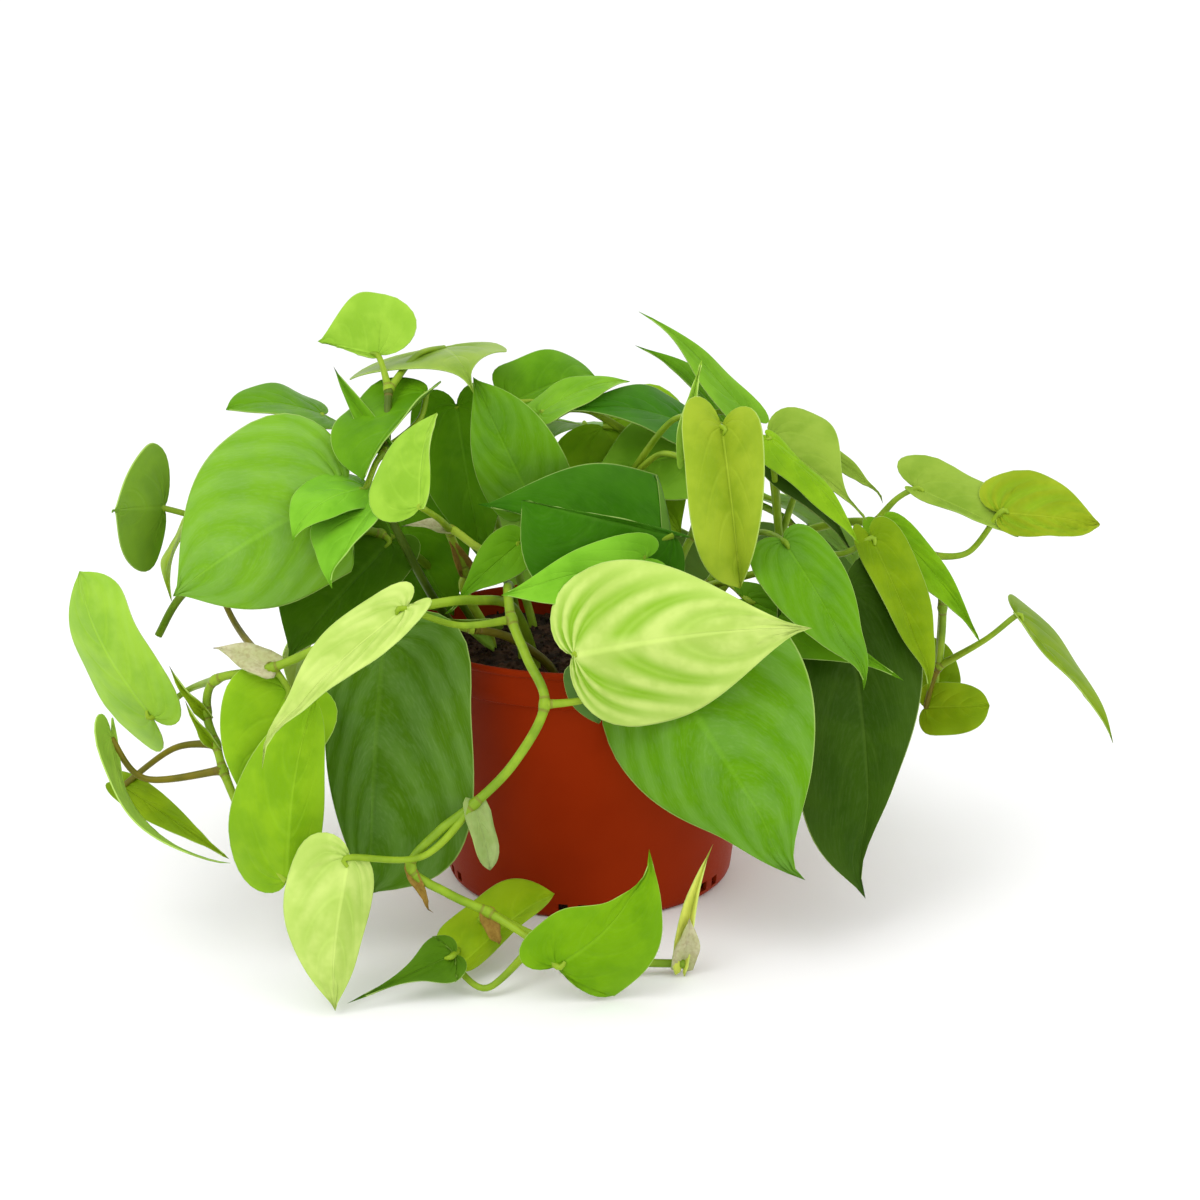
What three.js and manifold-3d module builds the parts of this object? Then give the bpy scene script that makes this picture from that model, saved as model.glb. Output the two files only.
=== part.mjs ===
// Potted neon philodendron: heart-leaf vines in a plain six-inch nursery pot.
// Millimetres, +Z up. The origin is the centre of the pot's underside, and the
// front of the plant looks towards -Y. Each leafy stem is one solid, in which
// the stem, its petioles, its blades and its dry sheaths are joined.

import * as THREE from 'three';
import { mergeVertices } from 'three/addons/utils/BufferGeometryUtils.js';
import Module from 'manifold-3d';

const wasm = await Module();
wasm.setup();

// Driving dimensions of the pot
const POT_HEIGHT = 108;
const RIM_RADIUS = 76;
const COLLAR_RADIUS = 74.9;
const NECK_RADIUS = 72.8;
const BASE_RADIUS = 61.5;
const BASE_ROUNDING = 2.5;
const COLLAR_DEPTH = 14.5;
const COLLAR_FLARE = 0.3;
const LIP_DEPTH = 2.6;
const LIP_STEP = 0.4;
const LIP_ROUNDING = 0.5;
const LIP_INNER_RADIUS = 74.1;
const LIP_INNER_DEPTH = 3.6;
const POT_WALL = 1.5;
const POT_FLOOR = 2.5;
const POT_SIDES = 36;
const NOTCH_PAIRS = 6;
const NOTCH_FIRST_ANGLE = 24;
const NOTCH_WIDTH = 4;
const NOTCH_BOTTOM = 3;
const NOTCH_HEIGHT = 4;
const NOTCH_SPACING = 8;

// Driving dimensions of the soil
const SOIL_TOP = 95;
const SOIL_BUMP = 1.6;
const SOIL_EDGE_DROP = 2.2;
const SOIL_FOOT_CUT = 0.6;
const SOIL_GAP = 0.3;
const SOIL_SIDES = 24;
const SOIL_RINGS = 3;
const ROOT_DEPTH = 20;
const ROOT_SIDES = 6;

// Driving dimensions of the stems and blades
const STEM_RADIUS = 2.3;
const STEM_TIP_RADIUS = 1.7;
const STEM_SIDES = 6;
const STEM_STEPS = 2;
const PETIOLE_RADIUS = 1.7;
const PETIOLE_SIDES = 3;
const PETIOLE_STEPS = 1;
const BENT_PETIOLE_STEPS = 2;
const PETIOLE_SINK = 3;
const PETIOLE_ARCH = 0.12;
const BLADE_THICKNESS = 0.8;
const SHEATH_THICKNESS = 0.7;

// The vines. "stem" lists the points that the stem passes through, the first at
// the soil. A leaf is its name, the stem point that its petiole leaves from, the
// place where the petiole meets the blade, the blade's tip, the way its upper
// face looks, and its own shape where that differs from the usual one. Two numbers
// for one thing are those of the two halves of the blade.
const VINES = {
  "front": {
    "stem": [[-28, -12, 100], [-31, -30, 128], [-31, -56, 137], [-29, -70, 128], [-23, -80, 116],
      [-16, -91, 101], [-27, -98, 81], [-42, -102, 66], [-55, -107, 57], [-65, -112, 45],
      [-51, -113, 35], [-37, -113, 28], [-18, -112, 17], [12, -110, 7], [36, -107, 4]],
    "leaves": [
      ["broad_front", 5, [29, -88, 114], [80, -112, 40], [-0.1, -1, 0.3],
        {"wide": [0.98, 0.88], "blunt": [0.8, 0.8], "fold": [0, -20], "drip": 0.16,
          "via": [2, -89, 103], "hook": -0.035}],
      ["pale_left", 3, [-66, -100, 140], [-115, -124, 88], [-0.3, -0.6, 0.75],
        {"wide": [0.28, 0.42], "blunt": [0.7, 1.1], "drip": 0.28, "via": [-48, -82, 129],
          "hook": -0.05}],
      ["lime_low", 7, [-85, -126, 55], [-90, -140, 2], [-0.3, -1, 0.2],
        {"wide": [0.5, 0.9], "blunt": [1.5, 1.0], "fold": [-55, 0], "via": [-60, -113, 50],
          "lobe": [0.3, 1.15]}],
      ["floor_dark", 11, [-49, -122, 15], [-86, -138, 4], [-0.1, -0.7, 0.7],
        {"wide": 0.5, "blunt": 0.6, "lobe": 0.6, "rise": 5, "drop": 0, "drip": 0.6,
          "via": [-46, -92, 8]}],
      ["floor_olive", 12, [-48, -119, 8], [-13, -84, 22], [-0.2, -0.7, 0.6],
        {"wide": [0.66, 0.22], "blunt": [2.2, 1.6], "lobe": [0.2, 0], "fold": [5, -50],
          "drip": 0.03, "via": [-36, -126, 4]}],
      ["floor_bright", 11, [-11, -133, 16], [22, -128, 59], [0.1, -1, 0.15],
        {"wide": [0.62, 0.88], "blunt": [0, 1.4], "lobe": [1.5, 0], "rise": 8, "drop": 15,
          "sweep": -0.13, "fold": [-5, 0], "drip": 0.22, "via": [-22, -122, 22], "hook": -0.04}],
      ["sheath_pale", 7, [-42, -102, 66], [-36, -110, 43], [0.4, -0.9, 0.1],
        {"wide": 0.4, "blunt": 1.8, "fold": 20, "bare": 1, "drip": 0.04}],
      ["sheath_turn", 9, [-65, -112, 45], [-57, -112, 27], [0, -1, 0.2],
        {"wide": 0.24, "fold": 40, "bare": 1, "hook": -0.05}],
      ["sheath_low", 11, [-37, -113, 28], [-33, -114, 15], [0, -1, 0.2],
        {"wide": 0.5, "fold": 30, "bare": 1, "hook": 0.05, "blunt": 1.2}],
      ["shoot", 14, [36, -107, 5], [47, -97, 48], [-0.3, -1, 0.2],
        {"wide": [0.26, 0.16], "rise": -10, "drop": 20, "fold": 60, "sweep": 0.05, "bare": 1}],
      ["shoot_sheath", 14, [35, -107, 4], [38, -106, 22], [0.3, -1, 0.1],
        {"wide": 0.62, "blunt": 1, "fold": 35, "bare": 1}]
    ]
  },
  "left": {
    "stem": [[-22, -30, 100], [-30, -44, 126], [-44, -64, 134], [-57, -77, 136], [-72, -84, 134],
      [-92, -86, 125], [-118, -84, 113], [-141, -76, 106], [-146, -73, 92], [-142, -78, 81],
      [-139, -82, 72]],
    "leaves": [
      ["left_high", 7, [-168, -70, 89], [-194, -62, 145], [-0.5, -0.9, 0],
        {"wide": [0.76, 0.5], "blunt": [1.2, 3.0], "fold": [-5, -8], "drip": 0.03,
          "via": [-157, -58, 96], "lobe": [1.9, 0.9]}],
      ["left_edge", 10, [-182, -77, 83], [-132, -108, 45], [-0.65, -0.3, -0.7],
        {"wide": [0.38, 0.1], "rise": 38, "drop": 38, "drip": 0.15, "via": [-170, -78, 67],
          "hook": -0.05}],
      ["left_under", 9, [-181, -70, 61], [-135, -97, 42], [-0.1, -0.7, 0.6],
        {"wide": 0.22, "blunt": 0.5, "rise": 6, "drop": 6, "via": [-160, -72, 77]}],
      ["left_lime_back", 6, [-112, -84, 104], [-129, -92, 62], [-0.1, -1, 0.2],
        {"wide": 0.95, "blunt": 0.8}],
      ["left_lime_front", 10, [-112, -106, 37], [-99, -100, 108], [-0.3, -1, 0],
        {"wide": [0.74, 0.34], "blunt": [1, 1.6], "fold": [0, -30], "drip": 0.05,
          "via": [-126, -96, 50]}],
      ["left_spike_a", 8, [-146, -74, 92], [-159, -74, 111], [-0.3, -1, 0.2],
        {"wide": 0.25, "fold": 50, "bare": 1}],
      ["left_spike_b", 9, [-142, -79, 81], [-153, -77, 98], [-0.3, -1, 0.2],
        {"wide": 0.25, "fold": 50, "bare": 1}],
      ["left_root", 6, [-118, -84, 113], [-142, -74, 118], [0, -0.6, 0.8],
        {"wide": 0.5, "fold": 20, "bare": 1}],
      ["olive_left", 6, [-163, -12, 157], [-165, -42, 128], [-0.8, -0.4, 0.3],
        {"wide": 0.6, "via": [-142, -40, 121]}]
    ]
  },
  "upper_left": {
    "stem": [[-56, 4, 100], [-65, -15, 124], [-74, -22, 145], [-81, -24, 164], [-80, -26, 186],
      [-80, -14, 208]],
    "leaves": [
      ["big_left", 3, [-96, -36, 172], [-158, -66, 136], [-0.2, -0.95, 0.3],
        {"wide": [0.8, 1.18], "blunt": [1.7, 1], "fold": [-20, 0], "lobe": [-0.3, 1.1]}],
      ["curl_top", 4, [-65, -12, 207], [-87, -46, 177], [-0.4, -0.8, 0.4],
        {"wide": [0.2, 1.02], "blunt": [0.4, 1.9], "lobe": 1.2, "rise": 10, "drop": 30,
          "fold": [20, -5], "cup": [40, 10], "drip": 0.05, "via": [-68, -16, 196]}],
      ["curl_mid", 4, [-87, -38, 173], [-112, -64, 157], [-0.3, -0.6, 0.7],
        {"wide": [0.5, 0.95], "blunt": 0.8, "rise": 25, "drop": 50, "fold": [-20, 10]}],
      ["curl_low", 3, [-81, -46, 169], [-96, -74, 141], [-0.4, -0.7, 0.5],
        {"wide": [0.4, 1.16], "blunt": [0.2, 1.0], "fold": [25, 5], "drip": 0.16, "hook": -0.05}],
      ["top_lime", 5, [-85, -6, 221], [-110, 0, 226], [0.1, -0.9, 0.3],
        {"wide": [0.14, 1.9], "blunt": [0.3, 1.9], "lobe": [0.3, 3.6], "rise": 5, "drop": 5,
          "drip": 0.2}],
      ["top_arch", 5, [-61, 24, 221], [-45, -26, 208], [-0.02, -0.3, 1],
        {"wide": [0.92, 1.58], "blunt": 0, "fold": [4, 1], "drip": 0.2}],
      ["spike_left", 4, [-80, -26, 186], [-104, 0, 216], [-0.3, -0.8, 0.5],
        {"wide": 0.2, "fold": 40, "bare": 1}]
    ]
  },
  "mid_left": {
    "stem": [[-50, 24, 100], [-66, 14, 126], [-86, -8, 148], [-108, -22, 150], [-136, -30, 142],
      [-158, -44, 133], [-170, -46, 115]],
    "leaves": [
      ["deep_middle", 1, [-84, 22, 152], [-58, 10, 108], [-0.1, -0.9, 0.4],
        {"wide": 1.1, "blunt": 0.9}],
      ["far_left", 4, [-168, -34, 164], [-173, -84, 172], [-0.97, 0.15, 0.1],
        {"wide": 1.0, "blunt": -0.6, "lobe": 0.75}],
      ["deep_left", 2, [-82, -10, 145], [-120, -42, 104], [-0.2, -0.9, 0.4],
        {"wide": [0.5, 1.2], "rise": 4, "drop": 12, "blunt": 1}],
      ["behind_left", 3, [-111, 10, 195], [-146, -12, 200], [-0.2, -0.5, 0.9],
        {"wide": 0.8, "blunt": 1.2, "drip": 0.03}]
    ]
  },
  "dark_left": {
    "stem": [[-14, -46, 100], [-30, -54, 116], [-44, -62, 122]],
    "leaves": [
      ["dark_left", 2, [-78, -70, 120], [-83, -93, 26], [-0.1, -1, 0.2],
        {"wide": [0.74, 0.42], "rise": 8, "drop": 14, "blunt": [2.8, 1], "sweep": 0,
          "drip": 0.04}]
    ]
  },
  "inner": {
    "stem": [[-42, 2, 100], [-52, -8, 124], [-51, -14, 134], [-56, -24, 153], [-45, -32, 148],
      [-36, -36, 144]],
    "leaves": [
      ["arch_far", 5, [33, -34, 142], [-43, -42, 167], [0, -0.65, 0.7],
        {"wide": [0.12, 0.94], "blunt": [0.3, 0.9], "lobe": [0.3, -0.6], "rise": 8, "drop": 12,
          "drip": 0.12, "via": [0, -22, 145]}],
      ["arch_point", 5, [-27, -46, 152], [-56, -55, 126], [-0.2, -0.9, 0.3],
        {"wide": 0.5, "blunt": 0, "drip": 0.2, "hook": 0.03}],
      ["sheath_node", 3, [-56, -24, 153], [-74, -36, 157], [0, -0.7, 0.7],
        {"wide": 0.3, "fold": 30, "bare": 1}],
      ["sheath_brown", 2, [-51, -14, 134], [-58, -22, 152], [0.3, -0.9, 0.2],
        {"wide": 0.4, "fold": 40, "bare": 1}],
      ["bud", 0, [-42, 0, 102], [-58, -30, 118], [0.2, -0.9, 0.3],
        {"wide": 0.4, "fold": 40, "bare": 1}],
      ["half_bright", 3, [-63, -67, 171], [-58, -43, 203], [-0.5, -0.8, 0.2],
        {"wide": [1.14, 0.2], "blunt": [0.7, 1.2], "drip": 0.03, "via": [-58, -46, 162],
          "lobe": [1.0, 0.3]}]
    ]
  },
  "centre": {
    "stem": [[-4, -20, 100], [-6, -30, 122], [-4, -42, 137], [10, -51, 139]],
    "leaves": [
      ["centre_upright", 2, [-24, -14, 164], [-47, -3, 212], [-0.1, -0.9, 0.3],
        {"wide": [0.6, 0.76], "blunt": [0.7, 1.2]}],
      ["arch_near", 3, [33, -44, 155], [-25, -60, 172], [0, -1, 0.2],
        {"wide": [1.0, 0.06], "blunt": [2.6, 0.3], "rise": 6, "drop": 6, "drip": 0.02}],
      ["centre_light", 3, [22, -62, 150], [-32, -84, 141], [0, -0.85, 0.5],
        {"wide": [0.5, 0.38], "blunt": [1.2, 0.5], "lobe": 1, "rise": 8, "drop": 10,
          "drip": 0.08}],
      ["lime_front", 3, [-5, -98, 122], [80, -108, 135], [0.1, -0.8, 0.5],
        {"wide": [0.78, 0.82], "blunt": [0.6, 1.2], "lobe": [0.85, 0.5], "fold": [5, -38],
          "drip": 0.16, "via": [8, -70, 132]}],
      ["behind_lime", 3, [2, -84, 113], [4, -84, 91], [0, -1, 0.2],
        {"wide": [0.6, 1.05], "via": [4, -74, 122], "blunt": 1.2, "drip": 0.04, "rise": 4,
          "drop": 4, "fold": 0, "cup": -6}]
    ]
  },
  "top": {
    "stem": [[14, 10, 100], [16, 14, 135], [14, 21, 162], [20, 28, 182]],
    "leaves": [
      ["spike_lime", 2, [38, -34, 184], [44, -32, 222], [-0.3, -1, 0.1],
        {"wide": 0.24, "fold": 50, "via": [28, -4, 180]}],
      ["deep_top", 3, [6, 34, 186], [40, 24, 140], [0.1, -0.9, 0.3],
        {"wide": [1.15, 1.05], "blunt": 0.6}],
      ["folded_yellow", 2, [51, -48, 198], [57, -74, 141], [0, -1, 0.3],
        {"wide": [0.6, 0.57], "blunt": [0.9, 2.4], "lobe": [0.55, 1.5], "fold": [55, 35],
          "via": [34, -14, 196], "drip": 0.04}],
      ["spike_right", 3, [70, 40, 190], [21, 38, 235], [0.4, -0.7, 0.6],
        {"wide": [0.36, 0.26], "blunt": 0.9, "rise": 0, "drip": 0.3}],
      ["spike_low", 3, [61, 52, 184], [20, 55, 219], [0.5, -0.6, 0.6],
        {"wide": [0.16, 0.5], "blunt": 0.9, "drip": 0.25}],
      ["top_round", 3, [-32, 17, 199], [3, 45, 206], [0, -0.75, 0.65],
        {"wide": [0.84, 0.76], "blunt": 1.6, "drip": 0.03, "lobe": [0.6, 1]}],
      ["top_pale", 3, [-20, 0, 197], [17, 15, 208], [0, -0.4, 0.9],
        {"wide": 0.52, "blunt": 0.9}],
      ["top_flat", 3, [41, 25, 189], [-13, -5, 198], [0, -0.7, 0.8],
        {"wide": 0.5, "blunt": 0.5, "drip": 0.15}],
      ["inner_olive", 2, [40, 24, 176], [-4, 10, 164], [0, -0.8, 0.5],
        {"wide": 0.9}]
    ]
  },
  "right": {
    "stem": [[34, -14, 100], [48, -18, 128], [60, -16, 141], [78, -13, 146]],
    "leaves": [
      ["far_bronze", 3, [111, -40, 153], [131, -66, 98], [0.2, -0.95, 0.3],
        {"wide": [0.42, 0.24], "blunt": 0.9, "via": [98, -38, 146], "hook": 0.03}],
      ["right_front", 2, [74, -64, 157], [103, -86, 105], [0.2, -0.95, 0.3],
        {"wide": [0.46, 0.56], "blunt": [0.9, 0.5], "lobe": 0.6, "drip": 0.12, "hook": 0.04}],
      ["right_lime", 3, [71, -28, 191], [104, -56, 154], [0.5, -0.6, 0.6],
        {"wide": [0.18, 0.3], "blunt": 0.9, "lobe": 0.6, "rise": 8, "drop": 15, "fold": [10, -30],
          "drip": 0.08}],
      ["right_dark_small", 3, [73, 4, 182], [93, -10, 160], [0.2, -0.8, 0.5],
        {"wide": [0.4, 0.5], "drip": 0.2}],
      ["right_back", 3, [73, -14, 189], [110, -36, 159], [0.2, -0.8, 0.6],
        {"wide": [0.85, 0.2], "blunt": [-0.6, 0.3], "lobe": [1.0, 0.5], "rise": 2, "drip": 0.06}],
      ["right_mid", 3, [75, -12, 179], [105, -34, 145], [0.3, -0.8, 0.5],
        {"wide": [0.2, 0.34]}],
      ["right_low", 1, [62, -52, 131], [120, -74, 105], [0.1, -0.9, 0.4],
        {"wide": [0.24, 0.5], "blunt": 0.5, "drip": 0.2}],
      ["dark_right", 1, [100, -50, 134], [108, -80, 18], [0.2, -1, 0.1],
        {"wide": [0.47, 0.5], "blunt": [0.1, 2.3], "drip": 0.16, "via": [82, -42, 142],
          "hook": -0.03}],
      ["right_tail", 3, [96, 6, 183], [122, 0, 159], [0.2, -0.8, 0.6],
        {"wide": [0.26, 0.3], "drip": 0.2, "rise": 2, "hook": 0.04}]
    ]
  },
  "far_right": {
    "stem": [[46, 14, 100], [66, 14, 130], [92, 4, 147], [118, -6, 152], [140, -14, 140],
      [146, -14, 118], [148, -4, 90]],
    "leaves": [
      ["far_olive", 3, [134, -8, 167], [172, -28, 151], [0.2, -0.7, 0.7],
        {"wide": [0.82, 0.18], "blunt": [1.3, 0.8], "lobe": [2.2, 0.8], "rise": 2, "drop": 5,
          "drip": 0.03}],
      ["far_yellow", 4, [165, -24, 160], [200, -42, 159], [0.1, -0.8, 0.6],
        {"wide": [1.1, 0.42], "blunt": [0.6, 1.8], "lobe": [2.2, 0.3], "rise": 5, "drop": 8,
          "fold": [5, -20], "drip": 0.03, "via": [155, -16, 142]}],
      ["far_bright", 3, [120, -22, 155], [155, -46, 112], [0.3, -0.9, 0.3],
        {"wide": [0.26, 0.38], "lobe": [0.6, 1]}],
      ["far_edge", 6, [175, -22, 117], [210, -48, 71], [0.75, -0.35, 0.55],
        {"wide": [0.62, 0.16], "blunt": 0.8, "lobe": [1.2, 0.3], "rise": 4, "drop": 12,
          "via": [163, -20, 106], "hook": 0.04}],
      ["far_low", 6, [145, 4, 69], [170, -6, 73], [0.1, -0.9, 0.3],
        {"wide": [0.78, 0.9], "blunt": 1.8, "drip": 0.03}],
      ["far_back", 5, [153, 24, 70], [150, 30, 94], [0, -1, 0.2],
        {"wide": 0.9, "blunt": 1.4, "drip": 0.05}]
    ]
  },
  "back_left": {
    "stem": [[-26, 36, 100], [-40, 48, 135], [-62, 60, 148], [-90, 68, 136], [-108, 72, 112]],
    "leaves": [
      ["deep_inner", 1, [-56, 20, 197], [-44, 12, 128], [-0.1, -0.9, 0.3],
        {"wide": [0.6, 0.6], "blunt": 0.6, "via": [-50, 38, 176]}],
      ["back_left_high", 1, [-52, 64, 172], [-86, 104, 150], [-0.4, 0.5, 0.8],
        {"wide": 0.85}],
      ["back_left_wide", 2, [-88, 52, 160], [-138, 64, 118], [-0.7, 0.2, 0.7],
        {"wide": 0.85, "blunt": 0.7}],
      ["back_left_low", 3, [-96, 84, 130], [-112, 114, 64], [-0.4, 0.9, 0.3],
        {"wide": 0.75, "blunt": 0.6}],
      ["back_left_tip", 4, [-122, 66, 100], [-140, 70, 48], [-0.9, 0.3, 0.2],
        {"wide": 0.75}]
    ]
  },
  "back": {
    "stem": [[4, 42, 100], [6, 62, 136], [2, 84, 138], [-6, 98, 118], [-10, 106, 92],
      [-6, 110, 66]],
    "leaves": [
      ["back_high", 1, [-2, 66, 182], [-22, 114, 166], [0, 0.4, 0.9],
        {"wide": 0.85}],
      ["back_middle", 2, [-20, 98, 140], [-38, 132, 76], [-0.2, 0.9, 0.4],
        {"wide": 0.8, "blunt": 0.6}],
      ["back_dark", 3, [22, 104, 118], [38, 124, 40], [0.2, 1, 0.2],
        {"wide": 0.8, "blunt": 0.7}],
      ["back_low", 5, [-20, 116, 60], [-42, 128, 8], [-0.3, 0.9, 0.4],
        {"wide": 0.75}]
    ]
  },
  "back_right": {
    "stem": [[32, 36, 100], [46, 50, 135], [66, 62, 148], [90, 70, 138], [110, 72, 114]],
    "leaves": [
      ["back_right_high", 1, [56, 66, 176], [86, 108, 152], [0.4, 0.5, 0.8],
        {"wide": 0.85}],
      ["back_right_wide", 2, [84, 54, 150], [128, 68, 106], [0.6, 0.3, 0.7],
        {"wide": 0.85, "blunt": 0.6}],
      ["back_right_low", 3, [96, 88, 126], [112, 114, 60], [0.4, 0.9, 0.3],
        {"wide": 0.8, "blunt": 0.7}],
      ["back_right_tip", 4, [124, 66, 102], [146, 68, 50], [0.9, 0.2, 0.3],
        {"wide": 0.7}]
    ]
  }
};

function vector(row) {
  return new THREE.Vector3(...row);
}

// Joining and cutting solids

function toSolid(geometry) {
  const bare = geometry.clone();
  bare.deleteAttribute('normal');
  bare.deleteAttribute('uv');
  const merged = mergeVertices(bare, 1e-4);
  return new wasm.Manifold(new wasm.Mesh({
    numProp: 3,
    vertProperties: new Float32Array(merged.attributes.position.array),
    triVerts: new Uint32Array(merged.index.array),
  }));
}

function toGeometry(solid) {
  const mesh = solid.getMesh();
  const geometry = new THREE.BufferGeometry();
  geometry.setAttribute('position', new THREE.BufferAttribute(mesh.vertProperties, 3));
  geometry.setIndex(new THREE.BufferAttribute(mesh.triVerts, 1));
  geometry.computeVertexNormals();
  return geometry;
}

// Joins the pieces, and leaves out any crumb that the joining cuts loose

function joinAll(solids) {
  const joined = solids.reduce((sum, solid) => sum.add(solid));
  const bodies = joined.decompose();
  return bodies.reduce((most, body) => (body.volume() > most.volume() ? body : most));
}

function meshGeometry(points, triangles) {
  const geometry = new THREE.BufferGeometry();
  geometry.setAttribute('position', new THREE.Float32BufferAttribute(
    points.flatMap((point) => [point.x, point.y, point.z]), 3));
  geometry.setIndex(triangles.flat());
  return geometry;
}

// A round bar along a list of points, with its own radius at each point

function bar(points, radii, sides) {
  const corners = [];
  const triangles = [];
  let across = new THREE.Vector3(0.31, 0.17, 0.93);
  points.forEach((point, i) => {
    const before = points[Math.max(i - 1, 0)];
    const after = points[Math.min(i + 1, points.length - 1)];
    const along = new THREE.Vector3().subVectors(after, before).normalize();
    across = across.clone().addScaledVector(along, -across.dot(along)).normalize();
    const other = new THREE.Vector3().crossVectors(along, across);
    for (let k = 0; k < sides; k += 1) {
      const angle = (2 * Math.PI * k) / sides;
      corners.push(point.clone()
        .addScaledVector(across, radii[i] * Math.cos(angle))
        .addScaledVector(other, radii[i] * Math.sin(angle)));
    }
  });
  for (let i = 0; i + 1 < points.length; i += 1) {
    for (let k = 0; k < sides; k += 1) {
      const a = i * sides + k;
      const b = i * sides + ((k + 1) % sides);
      triangles.push([a, b, b + sides], [a, b + sides, a + sides]);
    }
  }
  const last = (points.length - 1) * sides;
  for (let k = 1; k + 1 < sides; k += 1) {
    triangles.push([0, k + 1, k], [last, last + k, last + k + 1]);
  }
  return toSolid(meshGeometry(corners, triangles));
}

function smoothPath(points, steps) {
  const curve = new THREE.CatmullRomCurve3(points, false, 'catmullrom', 0.5);
  return curve.getPoints(steps * (points.length - 1));
}

// The heart-shaped blade. Its outline is worked out in units of its length, with
// the sinus at x = 0 and the tip at x = 1, and then laid on a curved surface.

const WIDEST = 0.43;
const LOBE = [[0, 0], [-0.16, 0.03], [-0.21, WIDEST], [0.16, WIDEST]];
const TAPER_PULL = [0.5, WIDEST];
const SLIM_SHOULDER = [0.72, 0.05];
const BLUNTING = [0.14, 0.22];
const DRIP_START = 6;
const DRIP_PINCH = 2;
const LEAF_STEPS = { lobe: [0, 0.5, 1], taper: [0.3, 0.6, 0.82, 1] };
const SHEATH_STEPS = { lobe: [0, 1], taper: [0.5, 1] };
const ROLLED = 30;
const RIB_SLANT = 0.55;
const MIDRIB_REACH = 0.38;
const HOOK_START = 0.64;
const HOOK_PEAK = 6.75;
const WAVES = 1.4;
const WAVE_SHIFT = 0.1;
const OTHER_HALF_SHIFT = 2;

function bezier(ends, t) {
  const s = 1 - t;
  const weights = [s * s * s, 3 * s * s * t, 3 * s * t * t, t * t * t];
  return [0, 1].map((axis) => weights.reduce((sum, w, i) => sum + w * ends[i][axis], 0));
}

// Draws the taper out into a thin drip tip that is "drip" of the blade's length

function drawnOut([x, y], t, drip) {
  const end = x + drip * (t ** DRIP_START - x);
  return [end, y * (1 - Math.exp((-DRIP_PINCH * (1 - end)) / drip))];
}

// One half's outline: "blunt" fills the shoulder out, "lobe" stretches the lobe

function outlineStations(blunt, lobe, drip, steps) {
  const rounding = LOBE.map(([x, y]) => [x < 0 ? lobe * x : x, y]);
  const shoulder = [
    Math.min(SLIM_SHOULDER[0] + BLUNTING[0] * blunt, 1),
    SLIM_SHOULDER[1] + BLUNTING[1] * blunt,
  ];
  const taper = [LOBE[3], TAPER_PULL, shoulder, [1, 0]];
  return [
    ...steps.lobe.map((t) => bezier(rounding, t)),
    ...steps.taper.map((t) => drawnOut(bezier(taper, t), t, drip)),
  ];
}

const USUAL_SHAPE = {
  wide: 0.8,
  blunt: 0.3,
  lobe: 1,
  drip: 0.1,
  rise: 15,
  drop: 25,
  fold: 12,
  cup: -18,
  sweep: 0,
  hook: 0,
  wave: 1.2,
};

function bladeSurface(base, tip, face, shape) {
  const chord = new THREE.Vector3().subVectors(tip, base);
  const length = chord.length();
  const along = chord.clone().normalize();
  const up = face.clone().addScaledVector(along, -face.dot(along)).normalize();
  const side = new THREE.Vector3().crossVectors(up, along);
  const rise = THREE.MathUtils.degToRad(shape.rise);
  const drop = THREE.MathUtils.degToRad(shape.drop);
  const handle = MIDRIB_REACH * length;
  const leaving = base.clone()
    .addScaledVector(along, handle * Math.cos(rise))
    .addScaledVector(up, handle * Math.sin(rise))
    .addScaledVector(side, shape.sweep * length);
  const arriving = tip.clone()
    .addScaledVector(along, -handle * Math.cos(drop))
    .addScaledVector(up, handle * Math.sin(drop))
    .addScaledVector(side, shape.sweep * length);
  const midrib = new THREE.CubicBezierCurve3(base, leaving, arriving, tip);
  const phase = WAVE_SHIFT * (base.x + base.y + base.z);

  return (x, out) => {
    const t = THREE.MathUtils.clamp(x, 0, 1);
    const tangent = midrib.getTangent(t);
    const across = side.clone().addScaledVector(tangent, -side.dot(tangent)).normalize();
    const normal = new THREE.Vector3().crossVectors(tangent, across);
    const half = out >= 0 ? 0 : 1;
    const reach = 0.5 * shape.wide[half] * length;
    const fold = THREE.MathUtils.degToRad(shape.fold[half]);
    const cup = THREE.MathUtils.degToRad(shape.cup[half]) || 1e-6;
    const away = Math.abs(out);
    const lateral = (reach * (Math.sin(fold + cup * away) - Math.sin(fold))) / cup;
    const height = (reach * (Math.cos(fold) - Math.cos(fold + cup * away))) / cup;
    const ripple = Math.sin(2 * Math.PI * (WAVES * x + phase) + half * OTHER_HALF_SHIFT);
    const wave = shape.wave * away * away * ripple;
    const late = Math.max(t - HOOK_START, 0) / (1 - HOOK_START);
    const aside = HOOK_PEAK * late * late * (1 - late) * shape.hook * length;
    return midrib.getPoint(t)
      .addScaledVector(side, aside)
      .addScaledVector(tangent, length * Math.min(x, 0))
      .addScaledVector(across, out >= 0 ? lateral : -lateral)
      .addScaledVector(normal, height + wave);
  };
}

// The blade as a thin sheet. Both halves share the same stations on the midrib.

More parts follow.
